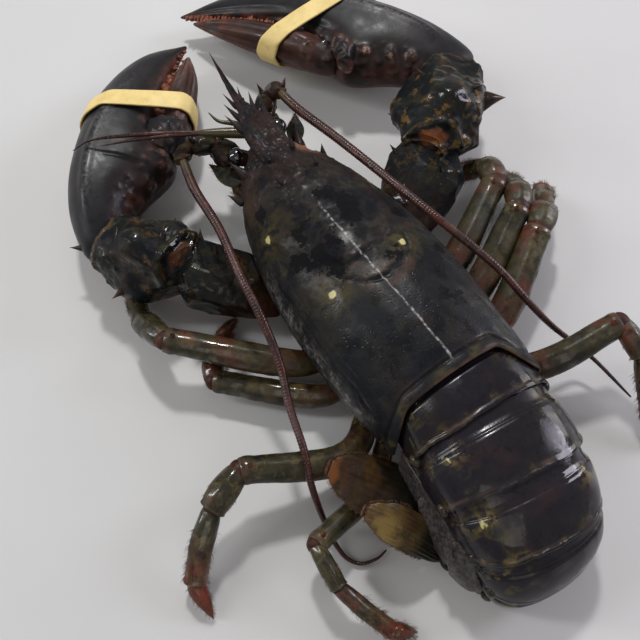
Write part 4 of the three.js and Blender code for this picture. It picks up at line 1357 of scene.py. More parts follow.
def shape_finger(finger, biting, seed):
    """Ridges, a hinge cluster and colour. biting is the angle of the toothed side."""
    away = np.degrees(np.abs((finger.angle - math.radians(biting) + math.pi) % (2 * math.pi)
                             - math.pi))
    ridges = np.cos(np.radians(away) * 8)
    ridges *= ramp(finger.place, 0.12, 0.3) * fade(finger.place, 0.9, 0.98)
    finger.push(0.28 * ridges * ramp(away, 30, 60))
    scatter_knobs(finger, seed, 14, (0.02, 0.2), (20, 160), radii=(0.8, 1.7), heights=(0.3, 0.7))
    finger.push(0.18 * uneven(finger, 11, seed) + 0.03 * uneven(finger, 2.5, seed + 1))
    finger.mark(warm=np.clip(0.15 + ramp(finger.place, 0.6, 0.98) + 0.5 * fade(away, 15, 60), 0, 1))
    finger.mark(rim=0.4 * fade(away, 18, 42) * patches(finger, 2.5, seed + 5, -0.5, 0.5))
    finger.mark(groove=0.55 * ramp(-ridges, 0.2, 1.0) * ramp(away, 30, 60),
                under=underside(finger, -0.8, -0.2))
    finger.mark(groove=0.8 * fade(finger.place, 0.05, 0.26) * patches(finger, 3, seed, -0.3, 0.4))


def molar(skin, place, degrees, size, seed):
    """A blunt grinding tooth on a biting edge."""
    root, normal = skin.spot(place, degrees, -0.5 * size)
    lump = loft([root, root + normal * size * 1.0, root + normal * size * 1.7],
                [size, size * 0.95, size * 0.4], rows=22, columns=22, blunt=0.5, blunt_end=0.9)
    lump.push(0.12 * uneven(lump, 1.6, seed))
    return lump.mark(rim=0.25 + 0.55 * lump.place, warm=1.0)


def row_of_teeth(skin, low, high, count, degrees, size, seed):
    """Sharp little teeth along a biting edge."""
    dots = np.random.default_rng(seed)
    teeth = []
    for place in np.linspace(low, high, count):
        tall = size * dots.uniform(0.65, 1.25)
        root, normal = skin.spot(place, degrees + dots.normal(0, 4), -0.4)
        tooth = spike(root, root + normal * tall * 1.7, tall * 0.8, columns=10, rows=10)
        teeth.append(tooth.mark(rim=0.2 + 0.8 * tooth.place, warm=1.0))
    return teeth


shape_finger(crusher_finger, 180, 151)
shape_finger(cutter_finger, 0, 171)
crusher_teeth = [molar(crusher, p, 20, s, i)
                 for i, (p, s) in enumerate([(0.60, 2.6), (0.66, 3.0), (0.72, 3.0), (0.78, 2.4)])]
crusher_teeth += row_of_teeth(crusher, 0.83, 0.965, 7, 18, 1.5, 3)
finger_teeth = [molar(crusher_finger, p, 165, s, i + 9)
                for i, (p, s) in enumerate([(0.42, 2.2), (0.54, 2.6), (0.65, 2.2)])]
finger_teeth += row_of_teeth(crusher_finger, 0.74, 0.94, 6, 160, 1.2, 5)
cutter_teeth = row_of_teeth(cutter, 0.60, 0.97, 26, 158, 1.9, 7)
cutter_finger_teeth = row_of_teeth(cutter_finger, 0.36, 0.95, 26, 28, 1.6, 9)


def hinge(centre, way, length, width, height, tan, seed):
    """The knobbly boss over a finger's joint."""
    boss = pad(centre, way, length, width, height, rows=70, columns=80)
    scatter_knobs(boss, seed, 46, (0.05, 0.95), (0, 180), radii=(0.7, 2.2), heights=(0.3, 1.0))
    boss.push(0.15 * uneven(boss, 4, seed))
    tanned = tan * patches(boss, 5, seed + 2, -0.6, 0.2)
    boss.mark(warm=0.5 * patches(boss, 4, seed, 0, 0.5), under=0.5 * tanned, fleck=0.8 * tanned)
    return boss.mark(groove=(0.35 - 0.2 * tan) * patches(boss, 3, seed + 1, 0, 0.4))


crusher_boss = hinge((-23, 156, 24.5), (0.9, -0.4, 0), 9.5, 8.5, 8.5, 0.1, 161)
cutter_boss = hinge((62.5, 150, 25), (0.3, 0.9, 0), 8.5, 4.6, 8.0, 0.9, 163)
make_piece("palm_left", [crusher, crusher_boss, *crusher_spines, *crusher_teeth], "claw shell")
make_piece("palm_right", [cutter, cutter_boss, *cutter_spines, *cutter_teeth], "claw shell")
make_piece("finger_left", [crusher_finger, *finger_teeth], "claw finger")
make_piece("finger_right", [cutter_finger, *cutter_finger_teeth], "claw finger")
print("teeth:", len(crusher_teeth + finger_teeth + cutter_teeth + cutter_finger_teeth))

# %% [markdown]
# ## The rubber bands
# A stretched band lies flat on whatever stands out and bridges the hollows between, so its inner
# line is the convex outline of both fingers. The outline is worked out at several places across
# the band's width, and a thin strip with rounded edges is laid on it.

# %% Bands
BAND_WIDTH = 9.0
BAND_THICKNESS = 1.2


def outline_reach(flat, turns):
    """How far the convex outline of flat points reaches from the centre in each direction."""
    order = flat[np.lexsort((flat[:, 1], flat[:, 0]))]

    def half(points):
        chain = []
        for p in points:
            while len(chain) > 1 and np.cross(chain[-1] - chain[-2], p - chain[-2]) <= 0:
                chain.pop()
            chain.append(p)
        return chain[:-1]

    hull = np.array(half(list(order)) + half(list(order[::-1])))
    edge = np.roll(hull, -1, 0) - hull
    normal = unit(np.stack([edge[:, 1], -edge[:, 0]], -1))
    depth = (normal * hull).sum(1)
    rays = np.stack([np.cos(turns), np.sin(turns)], -1)
    facing = rays @ normal.T
    return np.where(facing > 1e-6, depth / np.maximum(facing, 1e-6), 1e9).min(1)


def rubber_band(skins, middle, along):
    middle, along = np.array(middle, float), unit(np.array(along, float))
    across = unit(np.cross(along, (0, 0, 1)))
    lift = np.cross(across, along)
    cloud = np.vstack([s.points[1:-1].reshape(-1, 3) for s in skins]) - middle
    deep, wide, high = cloud @ along, cloud @ across, cloud @ lift
    turns = np.linspace(0, 2 * math.pi, int(260 * FINE), endpoint=False)
    stations = np.linspace(-0.5, 0.5, 5) * BAND_WIDTH
    reach = []
    for station in stations:
        near = np.abs(deep - station) < 1.3
        line = outline_reach(np.stack([wide[near], high[near]], -1), turns)
        for _ in range(5):
            line = (np.roll(line, 1) + line * 2 + np.roll(line, -1)) / 4
        reach.append(line)
    tight = np.polynomial.polynomial.polyfit(stations, np.array(reach), 1)
    loop = np.linspace(0, 2 * math.pi, 20, endpoint=False)
    offset = power(np.cos(loop), 0.35) * BAND_WIDTH / 2
    height = 0.25 + (power(np.sin(loop), 0.5) + 1) / 2 * BAND_THICKNESS
    radius = tight[0][:, None] + tight[1][:, None] * offset + height
    radius += 0.10 * noise(np.stack([turns * 7, turns * 0, turns * 0], -1), 2.0, 5)[:, None]
    spin = turns[:, None] * np.ones_like(radius)
    points = middle + along * (offset[None] * np.ones_like(radius))[..., None]
    points = points + (across * np.cos(spin)[..., None]
                       + lift * np.sin(spin)[..., None]) * radius[..., None]
    skin = Skin(points, spin / (2 * math.pi), np.broadcast_to(loop, spin.shape), ring=True)
    outward = (skin.normals() * (points - middle)).sum(-1)[:, 5].mean()
    if outward < 0:
        skin = Skin(points[:, ::-1], skin.place[:, ::-1], skin.angle[:, ::-1], ring=True)
    skin.mark(rim=ramp(np.abs(np.cos(skin.angle)), 0.90, 0.99))
    return skin


left_band = rubber_band([crusher, crusher_finger], (-26, 173.5, 19.2), (0.54, 0.84, 0))
right_band = rubber_band([cutter, cutter_finger], (60.5, 174.5, 18.8), (0.02, 1, 0))
make_piece("band_left", [left_band], "band")
make_piece("band_right", [right_band], "band")
print("bands laid on")

# %% [markdown]
# ## Wrists
# The wrist is a knobbly block with strong spines on its edges. At the top of its joint with the arm
# a notch shows the soft rust-coloured skin. A box with bevelled edges would look machined, so the
# wrist is a loft with flat faces pressed in, and marks give the notch the colour of skin.

# %% Wrists
left_wrist = loft([(-41, 94, 22), (-57, 107, 23.5), (-70, 126, 21)], right=[13, 17, 17.5, 17, 13],
                  left=[9, 12.5, 14.5, 14, 10], top=[10, 13.5, 15, 14, 12], rows=130, columns=130,
                  blunt=0.26, square=2.3)
right_wrist = loft([(57, 84, 22.5), (76, 97, 25), (100, 123, 24)], right=[11, 15.5, 18, 17, 14],
                   left=[(0, 15), (0.25, 19), (0.5, 21), (0.68, 19), (0.84, 13), (1, 10)],
                   top=[10, 14, 16, 14, 12], rows=130, columns=130, blunt=0.26, square=2.3)


def facet(skin, count, depth, seed):
    """Presses flat faces into a skin, from directions spread evenly all round."""
    dots = np.random.default_rng(seed)
    centre = skin.points.mean((0, 1))
    for k in range(count):
        height = 1 - 2 * (k + 0.5) / count
        turn = 2.4 * k + dots.uniform(-0.4, 0.4)
        level = math.sqrt(1 - height**2)
        way = np.array([level * math.cos(turn), level * math.sin(turn), height])
        reach = (skin.points - centre) @ way
        limit = reach.max() * (1 - depth * dots.uniform(0.5, 1.3))
        skin.points = skin.points - way * (0.9 * np.maximum(reach - limit, 0))[..., None]


def shape_wrist(wrist, notch, seed):
    """Flat faces, knobs, a rim at both ends and the notch over the arm joint."""
    facet(wrist, 12, 0.24, seed)
    wrist.push(knobs(wrist, notch["corners"], 7.0, 4.2))
    dots = np.random.default_rng(seed)
    centres, radii, heights = [], [], []
    for _ in range(110):
        centres.append(wrist.spot(dots.uniform(0.06, 0.94), dots.uniform(-40, 220))[0])
        radii.append(dots.uniform(0.45, 1.5))
        heights.append(radii[-1] * dots.uniform(0.25, 0.6))
    wrist.push(knobs(wrist, centres, radii, heights) + 0.7 * uneven(wrist, 9, seed))
    rim = hump(wrist.place, 0.93, 0.015) + hump(wrist.place, 0.06, 0.015)
    wrist.push(0.6 * rim * (np.sin(wrist.angle) > -0.6) + 0.3 * uneven(wrist, 2.6, seed + 1))
    offset = wrist.points - notch["centre"]
    way = unit(np.array([*notch["way"], 0.0]))
    long, short = offset @ way, offset @ np.array([-way[1], way[0], 0])
    gap = np.sqrt((long / 9) ** 2 + (short / 3.6) ** 2 + (offset[..., 2] / 8) ** 2)
    ridge = hump(gap, 1.5, 0.22) * (short > 0)
    wrist.push(-1.2 * np.exp(-((gap / 1.0) ** 6)) + 0.7 * ridge)
    above = np.sin(wrist.angle) > -0.4
    spots = patches(wrist, 4.5, seed + 3, 0.2, 0.5)
    wrist.mark(rim=0.4 * rim * above, olive=np.clip(0.6 * ridge + 0.35 * spots, 0, 1))
    wrist.mark(fleck=notch["fleck"] * patches(wrist, 3.6, seed + 4, 0.15, 0.4) * above,
               groove=0.8 * hump(gap, 1.1, 0.14))
    # painted sheen: a soft grey patch on the upper face stands in for a wet reflection
    painted_sheen = knobs(wrist, [wrist.spot(0.42, 28)[0]], 5.0, 1.0)
    painted_sheen *= patches(wrist, 2.5, seed + 8, -0.6, 0.3)
    wrist.mark(line=0.5, lined=notch["painted_sheen"] * painted_sheen)
    soft = ramp(1.15 - gap + 0.25 * noise(wrist.points, 2.5, seed + 6), 0.25, 0.5)
    wrist.mark(joint=notch["skin"] * soft, warm=soft, rough=soft)
    wrist.mark(warm=0.35 * patches(wrist, 7, seed + 5, 0, 0.5),
               under=underside(wrist, -0.85, -0.45))
    return wrist


WRIST_SPINES = {
    "left": [((-68, 106, 18), (-77.5, 105.5, 17.5), 3.8), ((-46, 111, 29), (-41, 115.5, 31), 3.2),
             ((-71, 120, 22), (-77, 122, 22), 2.8), ((-55, 97, 22), (-58, 93.5, 22), 2.2),
             ((-50, 108, 36), (-48, 110, 38), 2.0), ((-64, 117, 36), (-63, 119, 38), 2.0)],
    "right": [((93, 95, 28), (102, 89.5, 30), 6.0), ((103, 109, 26), (106.5, 110.5, 27), 2.4),
              ((63, 108, 24), (59, 114, 25), 3.8), ((90, 97, 36), (93, 95, 38), 1.6),
              ((72, 84, 23), (75, 81, 23), 2.2), ((78, 116, 34), (77, 119, 36), 2.0)],
}
# one number in each sets the strength of the painted sheen patch on the wrist
NOTCHES = {
    "left": dict(centre=(-49, 98, 35), way=(0.9, 0.45), fleck=0.3, skin=0.3, painted_sheen=0.15,
                 corners=[(-46, 110, 28), (-66, 105, 20), (-68, 121, 26), (-60, 110, 37)]),
    "right": dict(centre=(61.5, 88.5, 35), way=(0.82, -0.57), fleck=0.8, skin=1.0, painted_sheen=0.5,
                  corners=[(62, 110, 24), (95, 95, 28), (103, 109, 24), (80, 98, 39)]),
}
wrists = {"left": shape_wrist(left_wrist, NOTCHES["left"], 201),
          "right": shape_wrist(right_wrist, NOTCHES["right"], 231)}
for side, wrist in wrists.items():
    spines = [spike(base, tip, r, hook=(0, 0, 0.6), root=3.5)
              for base, tip, r in WRIST_SPINES[side]]
    for spine in spines:
        spine.mark(warm=0.3 + 0.7 * spine.place, rim=0.4 * ramp(spine.place, 0.6, 1.0))
    make_piece(f"wrist_{side}", [wrist, *spines], "arm shell")
print("wrists have", sum(len(s) for s in WRIST_SPINES.values()), "spines")

# %% [markdown]
# ## Arms
# The last segment before the wrist is a club: thin at the body, thick and pressed into flat faces
# at the far end. A loft gives the club, facets press it, and a few thorns stand on its upper edge.
# The wrist covers the far end, so the end itself stays plain.

# %% Arms
left_arm = loft([(-19, 66, 7), (-32, 81, 16), (-51, 102, 23)], [4.5, 10.5, 14, 14.5, 14],
                top=[4.5, 7.5, 10, 12, 11], rows=100, columns=100, blunt=0.3, blunt_end=0.14)
right_arm = loft([(22, 62, 7), (37, 71, 14), (67.5, 90.5, 22.5)], [4.5, 9.5, 14, 17, 18],
                 left=[4.5, 10, 14.5, 17, 17.5], top=[4.5, 7.5, 10, 12, 11], rows=100, columns=100,
                 blunt=0.3, blunt_end=0.14)
for side, arm, seed in (("left", left_arm, 251), ("right", right_arm, 271)):
    scatter_knobs(arm, seed, 50, (0.3, 0.93), (-30, 210), radii=(0.6, 1.5), heights=(0.2, 0.6))
    facet(arm, 14, 0.2, seed)
    arm.push(0.5 * uneven(arm, 8, seed) + 0.25 * uneven(arm, 2.5, seed + 1))
    arm.mark(warm=0.4 * fade(arm.place, 0.3, 0.8), joint=0.25 * fade(arm.place, 0.2, 0.45))
    arm.mark(fleck=0.25 * patches(arm, 11, seed + 4, 0.0, 0.4))
    arm.mark(under=underside(arm, -0.8, -0.3), olive=0.25 * patches(arm, 4, seed + 2, 0.2, 0.6))
    thorns = []
    for place, degrees in ((0.72, 65), (0.8, 150), (0.86, 30)):
        root, normal = arm.spot(place, degrees, -1.0)
        thorn = spike(root, root + normal * 4.0 + (0, 2.2, 0), 1.7, root=2)
        thorns.append(thorn.mark(warm=0.8))
    make_piece(f"arm_{side}", [arm, *thorns], "arm shell")
print("arms done")

# %% [markdown]
# ## Walking legs
# Four pairs of thin legs: a long flat thigh, a short shin that widens outwards, and a foot of two
# pieces. The first two pairs end in small pincers, the others in a bristly point. The joints show
# rust-coloured skin. All eight come from one function, with the same points that the frame uses.

# %% Leg shapes
LEG_HALF_WIDTH = 4.6
LEG_HALF_DEPTH = 5.2
LEGS = {
    "leg_left_2": [(-17, 44, 7), (-31, 43, 14), (-70, 77, 22), (-72, 93, 13), (-69, 108, 5),
                   (-62, 122, 1.6)],
    "leg_left_3": [(-17, 32, 7), (-30, 30, 8), (-62, 58, 9.5), (-57, 67, 6), (-48, 74, 3.6),
                   (-39, 79, 1.6)],
    "leg_left_4": [(-17, 20, 7), (-38, 5, 14), (-74, 19, 24), (-88, 14, 20), (-105, 1, 8),
                   (-106, -13, 1.6)],
    "leg_left_5": [(-17, 8, 7), (-38, -8, 9), (-66, -15, 18), (-67, -30, 15), (-60, -50, 6),
                   (-52, -55, 1.6)],
    "leg_right_2": [(20, 44, 7), (37, 44, 12), (76, 63, 22), (81, 73, 17), (73, 82, 7),
                    (64, 92, 1.8)],
    "leg_right_3": [(20, 32, 7), (37, 30, 12), (74, 47, 24), (82, 56, 20), (88, 66, 9),
                    (87, 80, 1.6)],
    "leg_right_4": [(20, 20, 7), (38, 16, 12), (74, 35, 24), (84, 42, 20), (95, 52, 12),
                    (100, 60, 1.6)],
    "leg_right_5": [(20, 8, 7), (38, -8, 18), (68, -14, 29), (68, -27, 24), (62, -44, 9),
                    (60, -54, 1.6)],
}
STOUTNESS = {"leg_left_2": 1.15, "leg_left_3": 1.0, "leg_left_4": 1.15, "leg_left_5": 0.9,
             "leg_right_2": 1.3, "leg_right_3": 1.3, "leg_right_4": 1.35, "leg_right_5": 1.15}
soft_pads, foot_hairs = [], []


def leg_tube(path, wide, high, seed, rows=90, ridge=0.55):
    """A leg piece with a ridge on top, flared ends and fine unevenness."""
    tube = loft(path, scaled(wide, LEG_HALF_WIDTH), top=scaled(high, LEG_HALF_DEPTH), rows=rows,
                columns=52, blunt=0.09, blunt_end=0.07, square=2.3)
    over = np.abs(((tube.angle - math.pi / 2) + math.pi) % (2 * math.pi) - math.pi)
    crest = ridge * hump(over, 0, 0.24) * np.sin(np.pi * tube.place) ** 0.5
    ends = 0.3 * hump(tube.place, 0.965, 0.025)
    tube.push(crest + ends + 0.22 * uneven(tube, 6, seed) + 0.07 * uneven(tube, 1.8, seed + 1))
    tube.mark(joint=0.5 * (ramp(tube.place, 0.93, 0.99) + 1 - ramp(tube.place, 0.01, 0.08)))
    tube.mark(under=0.6 * underside(tube, -0.9, -0.3),
              warm=0.6 * patches(tube, 9, seed + 4, 0.1, 0.6))
    tube.mark(groove=0.6 * patches(tube, 2.4, seed + 2, 0.25, 0.55),
              fleck=0.8 * patches(tube, 12, seed + 3, -0.1, 0.4))
    return tube


def leg_hairs(tube, low, high, count, length, seed):
    """Tufts in rows along a leg piece, pointing outwards and forwards."""
    dots = np.random.default_rng(seed)
    normals, rows = tube.normals(), tube.place[:, 0]
    i = np.searchsorted(rows, dots.uniform(low, high, count)).clip(2, len(rows) - 3)
    lanes = np.radians(dots.choice([35, 90, 145, 215, 325], count) + dots.normal(0, 7, count))
    j = (lanes / (2 * math.pi) * tube.points.shape[1]).astype(int) % tube.points.shape[1]
    way = unit(tube.points[-1, 0] - tube.points[0, 0])
    return Hairs(tube.points[i, j] - normals[i, j] * 0.2, normals[i, j] * 0.8 + way, length, 0.09,
                 seed, 0.2)


def coxa(hip, exit_point, seed):
    """The stout first piece of a leg, against the belly plate."""
    hip, out = np.array(hip, float), unit(np.array(exit_point, float) - hip)
    lump = loft([hip - out * 3, hip + out * 3, hip + out * 9], [4.2, 5.4, 4.8, 3.8],
                top=[4.5, 5.2, 4.8, 4.0], rows=40, columns=40, blunt=0.4)
    lump.push(0.2 * uneven(lump, 4, seed))
    lump.stay_above(1.0)
    return lump.mark(under=0.8, joint=0.5 * ramp(lump.place, 0.6, 0.9))


def walking_leg(name, points, seed):
    hip, out, knee, ankle, bend, toe = [np.array(p, float) for p in points]
    pincer = name.endswith(("2", "3"))
    stout = STOUTNESS[name]
    slim = 0.82 if name.endswith("5") else 1.0
    deep = 1 + (stout - 1) * 0.3
    thigh = leg_tube([hip, out, knee], scaled([0.72, 0.9, 1.0, 1.0, 0.95, 0.92], stout),
                     scaled([0.7, 0.85, 0.98, 0.98, 0.9, 0.86], deep), seed)
    shin = leg_tube([knee, (knee + ankle) / 2 + (0, 0, 0.8), ankle],
                    scaled([0.8, 0.92, 0.96, 0.9], stout * slim),
                    scaled([0.72, 0.84, 0.88, 0.82], slim), seed + 3, rows=60)
    thigh.mark(warm=(0.6 if "right" in name else 0.25) * fade(thigh.place, 0.25, 0.7))
    pale = 0.75 if name in ("leg_left_4", "leg_left_5") else 0.0
    last = bend + (toe - bend) * 0.12
    foot = leg_tube([ankle, ankle + (bend - ankle) * 0.55 + (0, 0, 0.6), last],
                    scaled([0.76, 0.84, 0.82, 0.7 if pincer else 0.86], slim * deep),
                    scaled([0.66, 0.74, 0.74, 0.6 if pincer else 0.7], slim), seed + 6, rows=60,
                    ridge=0.2)
    way = unit(toe - bend)
    aside = unit(np.cross(way, (0, 0, 1)))
    claw_path = [last - way * 1.5, last + (toe - last) * 0.5 + (0, 0, 0.5), toe]
    thick = 1.0 if pincer else 2.05
    claw = loft(claw_path, scaled([1.9, 1.75, 1.3, 0.8, 0.2], thick), rows=50, columns=26,
                blunt=0.5, blunt_end=0.7)
    claw.mark(warm=1.5 + 0.5 * claw.place, joint=0.5 * fade(claw.place, 0, 0.15),
              rim=0.5 * ramp(claw.place, 0.7, 1))
    for tube in (thigh, shin, foot):
        tube.mark(fleck=pale)
    foot.mark(warm=1.4 * ramp(foot.place, 0.4, 0.95))
    skins = [foot, claw]
    if pincer:
        twin_path = [np.array(p) + aside * s for p, s in zip(claw_path, (-1.6, -2.1, -0.7))]
        twin = loft(twin_path, [2.0, 1.7, 1.1, 0.7, 0.25], rows=50, columns=26, blunt=0.5,
                    blunt_end=0.7)
        skins.append(twin.mark(warm=0.5 + 0.5 * twin.place))
    knob_root, knob_way = thigh.spot(0.95, 90, -0.8)
    stud = spike(knob_root, knob_root + knob_way * 2.6 + unit(knee - out) * 1.4, 1.3)
    make_piece(f"{name}_thigh", [coxa(hip, out, seed), thigh, stud.mark(warm=0.8)], "leg shell")
    make_piece(f"{name}_shin", [shin], "leg shell")
    make_piece(f"{name}_foot", skins, "leg shell")
    foot_hairs.append(leg_hairs(foot, 0.25, 0.97, 190, 2.9, seed))
    foot_hairs.append(leg_hairs(claw, 0.05, 0.85, 110, 2.2, seed + 1))
    foot_hairs.append(leg_hairs(shin, 0.5, 0.97, 40, 1.8, seed + 2))
    for joint, before, size in ((knee, out, 3.5 * stout), (ankle, knee, 3.1 * slim),
                                (last, ankle, 2.2 * slim)):
        soft_pads.append(pad(joint, joint - before, size * 0.85, size, min(size, 3.6), rows=20,
                             columns=22))


for number, (name, points) in enumerate(LEGS.items()):
    walking_leg(name, points, 300 + 20 * number)
print("legs:", len(LEGS), "with", sum(len(h.points) // 7 for h in foot_hairs), "hairs")

# %% [markdown]
# ## Feelers
# The long feelers are whips of hundreds of short rings on a stout jointed root. Each lies over the
# animal and bends down to the ground. The short feelers between the eyes split into two thin
# strands. The rings are real relief, because a bump alone would leave a smooth outline.

# %% Long feelers
RING_PITCH = 1.15
FLAGELLUM_RADIUS = 1.5
FEELERS = {
    "left": [(-25, 138, 30.5), (-30, 119, 36), (-33, 95, 41), (-37.8, 72.4, 44), (-40.2, 55, 41),
             (-43.3, 39.3, 36), (-48.5, 26, 33), (-53, 10.5, 31.5), (-56.7, 1, 27),
             (-57.6, -4.4, 18), (-57.8, -10, 7.5), (-58.2, -16.3, 3), (-57.5, -22, 1.7),
             (-54.8, -26, 1.7), (-49, -28, 1.7), (-44.5, -27.5, 1.7)],
    "right": [(22.5, 140, 38), (21.5, 127, 41.5), (24.6, 100, 45.5), (27.7, 67, 50), (31, 47.5, 50),
              (38.4, 22.3, 44), (42, 10, 37), (49, 0, 25), (56.9, -9, 14.5), (59.6, -17, 12),
              (63, -35, 7)],
}


def ringed_whip(path, radii, seed, pitch=RING_PITCH, columns=14):
    """A thin tube with a small step at every ring."""
    route = Route(path)
    rows = int(route.length / pitch * 5)
    whip = loft(route, radii, rows=rows, columns=columns, blunt=0.12, blunt_end=0.4)
    along = whip.place * whip.length / pitch
    saw = along - np.floor(along)
    size = profile(radii)(whip.place)
    whip.push(size * (0.10 * hump(saw, 0.5, 0.22) - 0.04))
    # painted glints: pale specks along the whip stand in for wet highlights, beside the pale ring
    # joints
    glints = patches(whip, 1.3, seed, 0.35, 0.6)
    whip.mark(rim=np.clip(0.5 * hump(saw, 0.05, 0.16) + 0.7 * glints, 0, 1))
    whip.mark(olive=0.9 * fade(whip.place, 0.0, 0.09))
    return whip


for seed, (side, path) in enumerate(FEELERS.items()):
    whip = ringed_whip(path, scaled([1.35, 1.15, 1, 0.85, 0.55], FLAGELLUM_RADIUS), seed)
    make_piece(f"feeler_{side}", [whip], "feeler")
print("long feelers reach", [int(Route(p).length) for p in FEELERS.values()], "mm")

# %% [markdown]
# ## Feeler roots, short feelers and scales
# A long feeler stands on three stout segments, and beside it a pointed scale covers the root. The
# short feelers are one thick base with two thin strands. Each segment is a loft of its own,
# slimmer than the one before, so that the joints show as steps.

# %% Feeler roots, short feelers and scales
FEELER_ROOTS = {
    "left": [(-7, 127, 27), (-12, 138, 30), (-22, 141, 30), (-27, 136, 31)],
    "right": [(11, 129, 27), (15.5, 140, 32), (21, 143, 36), (22.3, 137, 39)],
}
SHORT_FEELERS = {
    "left": [(2, 127, 38), (-3, 131, 38), (-14, 137.5, 39), (-30, 146.7, 40.5), (-44, 155, 40),
             (-53, 160.3, 38.5), (-60, 161.5, 36)],
    "right": [(5, 131, 35), (-1, 136.5, 37), (-6, 140.5, 38), (-7.5, 145, 39.5)],
}
SCALES = {
    "left": dict(root=(-12, 115, 29), tip=(-16.5, 133, 26), width=4.6),
    "right": dict(root=(17, 120, 30), tip=(25.2, 132.5, 30), width=3.8),
}


def jointed_root(path, seed):
    """Stout knobbly segments, each slimmer than the one before."""
    route, skins = Route(path), []
    cuts = [0.0, 0.34, 0.66, 1.0]
    for k, (start, end) in enumerate(zip(cuts, cuts[1:])):
        points, _ = route.read(np.linspace(start, end + 0.03 * (k < 2), 4))
        size = 5.6 - 1.2 * k
        piece = loft(points, [size * 0.9, size, size, size * 0.92], rows=60, columns=56, blunt=0.16)
        facet(piece, 9, 0.16, seed + k)
        scatter_knobs(piece, seed + k, 22, (0.1, 0.95), (0, 360), (0.5, 1.2), (0.2, 0.5))
        piece.mark(olive=0.6 * patches(piece, 5, seed + k, -0.3, 0.4),
                   joint=0.4 * ramp(piece.place, 0.88, 0.98), warm=0.5, rough=0.4)
        skins.append(piece)
        root, normal = piece.spot(0.82, 60 + 40 * k, -0.6)
        skins.append(spike(root, root + normal * 4.2 + (0, 1.6, 0), 1.3).mark(warm=0.7))
    return skins


def short_feeler(path, seed):
    """A thick base and two strands side by side."""
    route = Route(path)
    if route.length < 30:  # a stump, with its strands lost
        return [loft(route, [1.5, 1.2, 0.8, 0.35], rows=60, columns=20, blunt=0.3).mark(olive=1.0)]
    base_path, _ = route.read(np.linspace(0, 0.30, 4))
    base = loft(base_path, [2.3, 2.2, 1.9, 1.5], rows=60, columns=24, blunt=0.3).mark(olive=1.0)
    first = ringed_whip(route.read(np.linspace(0.26, 1.0, 9))[0], [1.15, 0.95, 0.7, 0.35], seed,
                        0.9, 10)
    apart = np.linspace(0, 1, 8)[:, None] * (0.6, -3.4, -1.2)
    second_path = route.read(np.linspace(0.26, 0.86, 8))[0] + apart
    strand = ringed_whip(second_path, [1.0, 0.8, 0.6, 0.3], seed + 5, 0.9, 10)
    return [base, first, strand]


for seed, side in enumerate(("left", "right")):
    make_piece(f"feeler_root_{side}", jointed_root(FEELER_ROOTS[side], 501 + 10 * seed),
               "arm shell")
    make_piece(f"antennule_{side}", short_feeler(SHORT_FEELERS[side], 520 + seed), "feeler")
    scale = SCALES[side]
    root, tip = np.array(scale["root"], float), np.array(scale["tip"], float)
    leaf = loft([root, (root + tip) / 2 + (0, 0, 0.6), tip],
                scaled([0.8, 1.0, 0.85, 0.45, 0.08], scale["width"]), top=[1.4, 1.1, 0.8, 0.5, 0.2],
                rows=70, columns=50, blunt=0.5, blunt_end=0.6)
    leaf.push(0.5 * hump(np.cos(leaf.angle), 0, 0.3) * (1 - leaf.place)
              + 0.06 * uneven(leaf, 3, 530 + seed))
    leaf.mark(olive=0.35, rim=0.7 * ramp(np.abs(np.cos(leaf.angle)), 0.93, 1.0))
    foot_hairs.append(leg_hairs(leaf, 0.3, 0.9, 60, 2.0, 540 + seed))
    make_piece(f"scale_{side}", [leaf], "arm shell")
print("head pieces done:", len(made), "pieces so far")

# %% [markdown]
# ## Eyes and mouth legs
# Each eye is a black ball on a short brown stalk, half sunk in its socket. Under the head a pair of
# mouth legs is folded forward, short and hairy.

# %% Eyes and mouth legs
EYES = {"left": (-9, 123.5, 35), "right": (13.5, 127, 35)}
MOUTH_LEGS = {
    "left": [(-6, 108, 7), (-8, 122, 9), (-7, 134, 15)],
    "right": [(9, 108, 7), (11, 122, 9), (10, 135, 15)],
}
for side, middle in EYES.items():
    middle = np.array(middle)
    out = unit(np.array([middle[0] - BODY_X, 6.0, 3.0]))
    ball = pad(middle - out * 0.6, out, 3.6, 3.8, 3.8, rows=50, columns=50)
    stalk = loft([middle - out * 7, middle - out * 3, middle + out * 0.4], [3.0, 3.1, 3.4, 3.3],
                 rows=40, columns=40, blunt=0.3)
    stalk.push(0.15 * uneven(stalk, 2.5, 7))
    make_piece(f"eye_{side}", [ball, stalk.mark(rim=0.35)], "eye")
for seed, (side, path) in enumerate(MOUTH_LEGS.items()):
    route, skins = Route(path), []
    for k, (start, end) in enumerate(((0, 0.5), (0.47, 0.8), (0.77, 1.0))):
        points, _ = route.read(np.linspace(start, end, 3))
        size = 4.0 - 0.8 * k
        piece = loft(points, [size * 0.85, size, size * 0.8], rows=50, columns=40, blunt=0.3)
        piece.push(0.15 * uneven(piece, 3, 560 + k))
        skins.append(piece.mark(joint=0.6 * ramp(piece.place, 0.88, 0.98), under=0.5))
        foot_hairs.append(leg_hairs(piece, 0.1, 0.95, 120, 3.0, 570 + 5 * seed + k))
    make_piece(f"mouth_leg_{side}", skins, "leg shell")
print("eyes and mouth legs done")

# %% [markdown]
# ## The belly
# The belly plate between the legs is pale and jointed. It is hidden while the animal lies on its
# feet, but it is finished like the rest: a loft with a seam down the middle and a groove between
# each pair of legs.

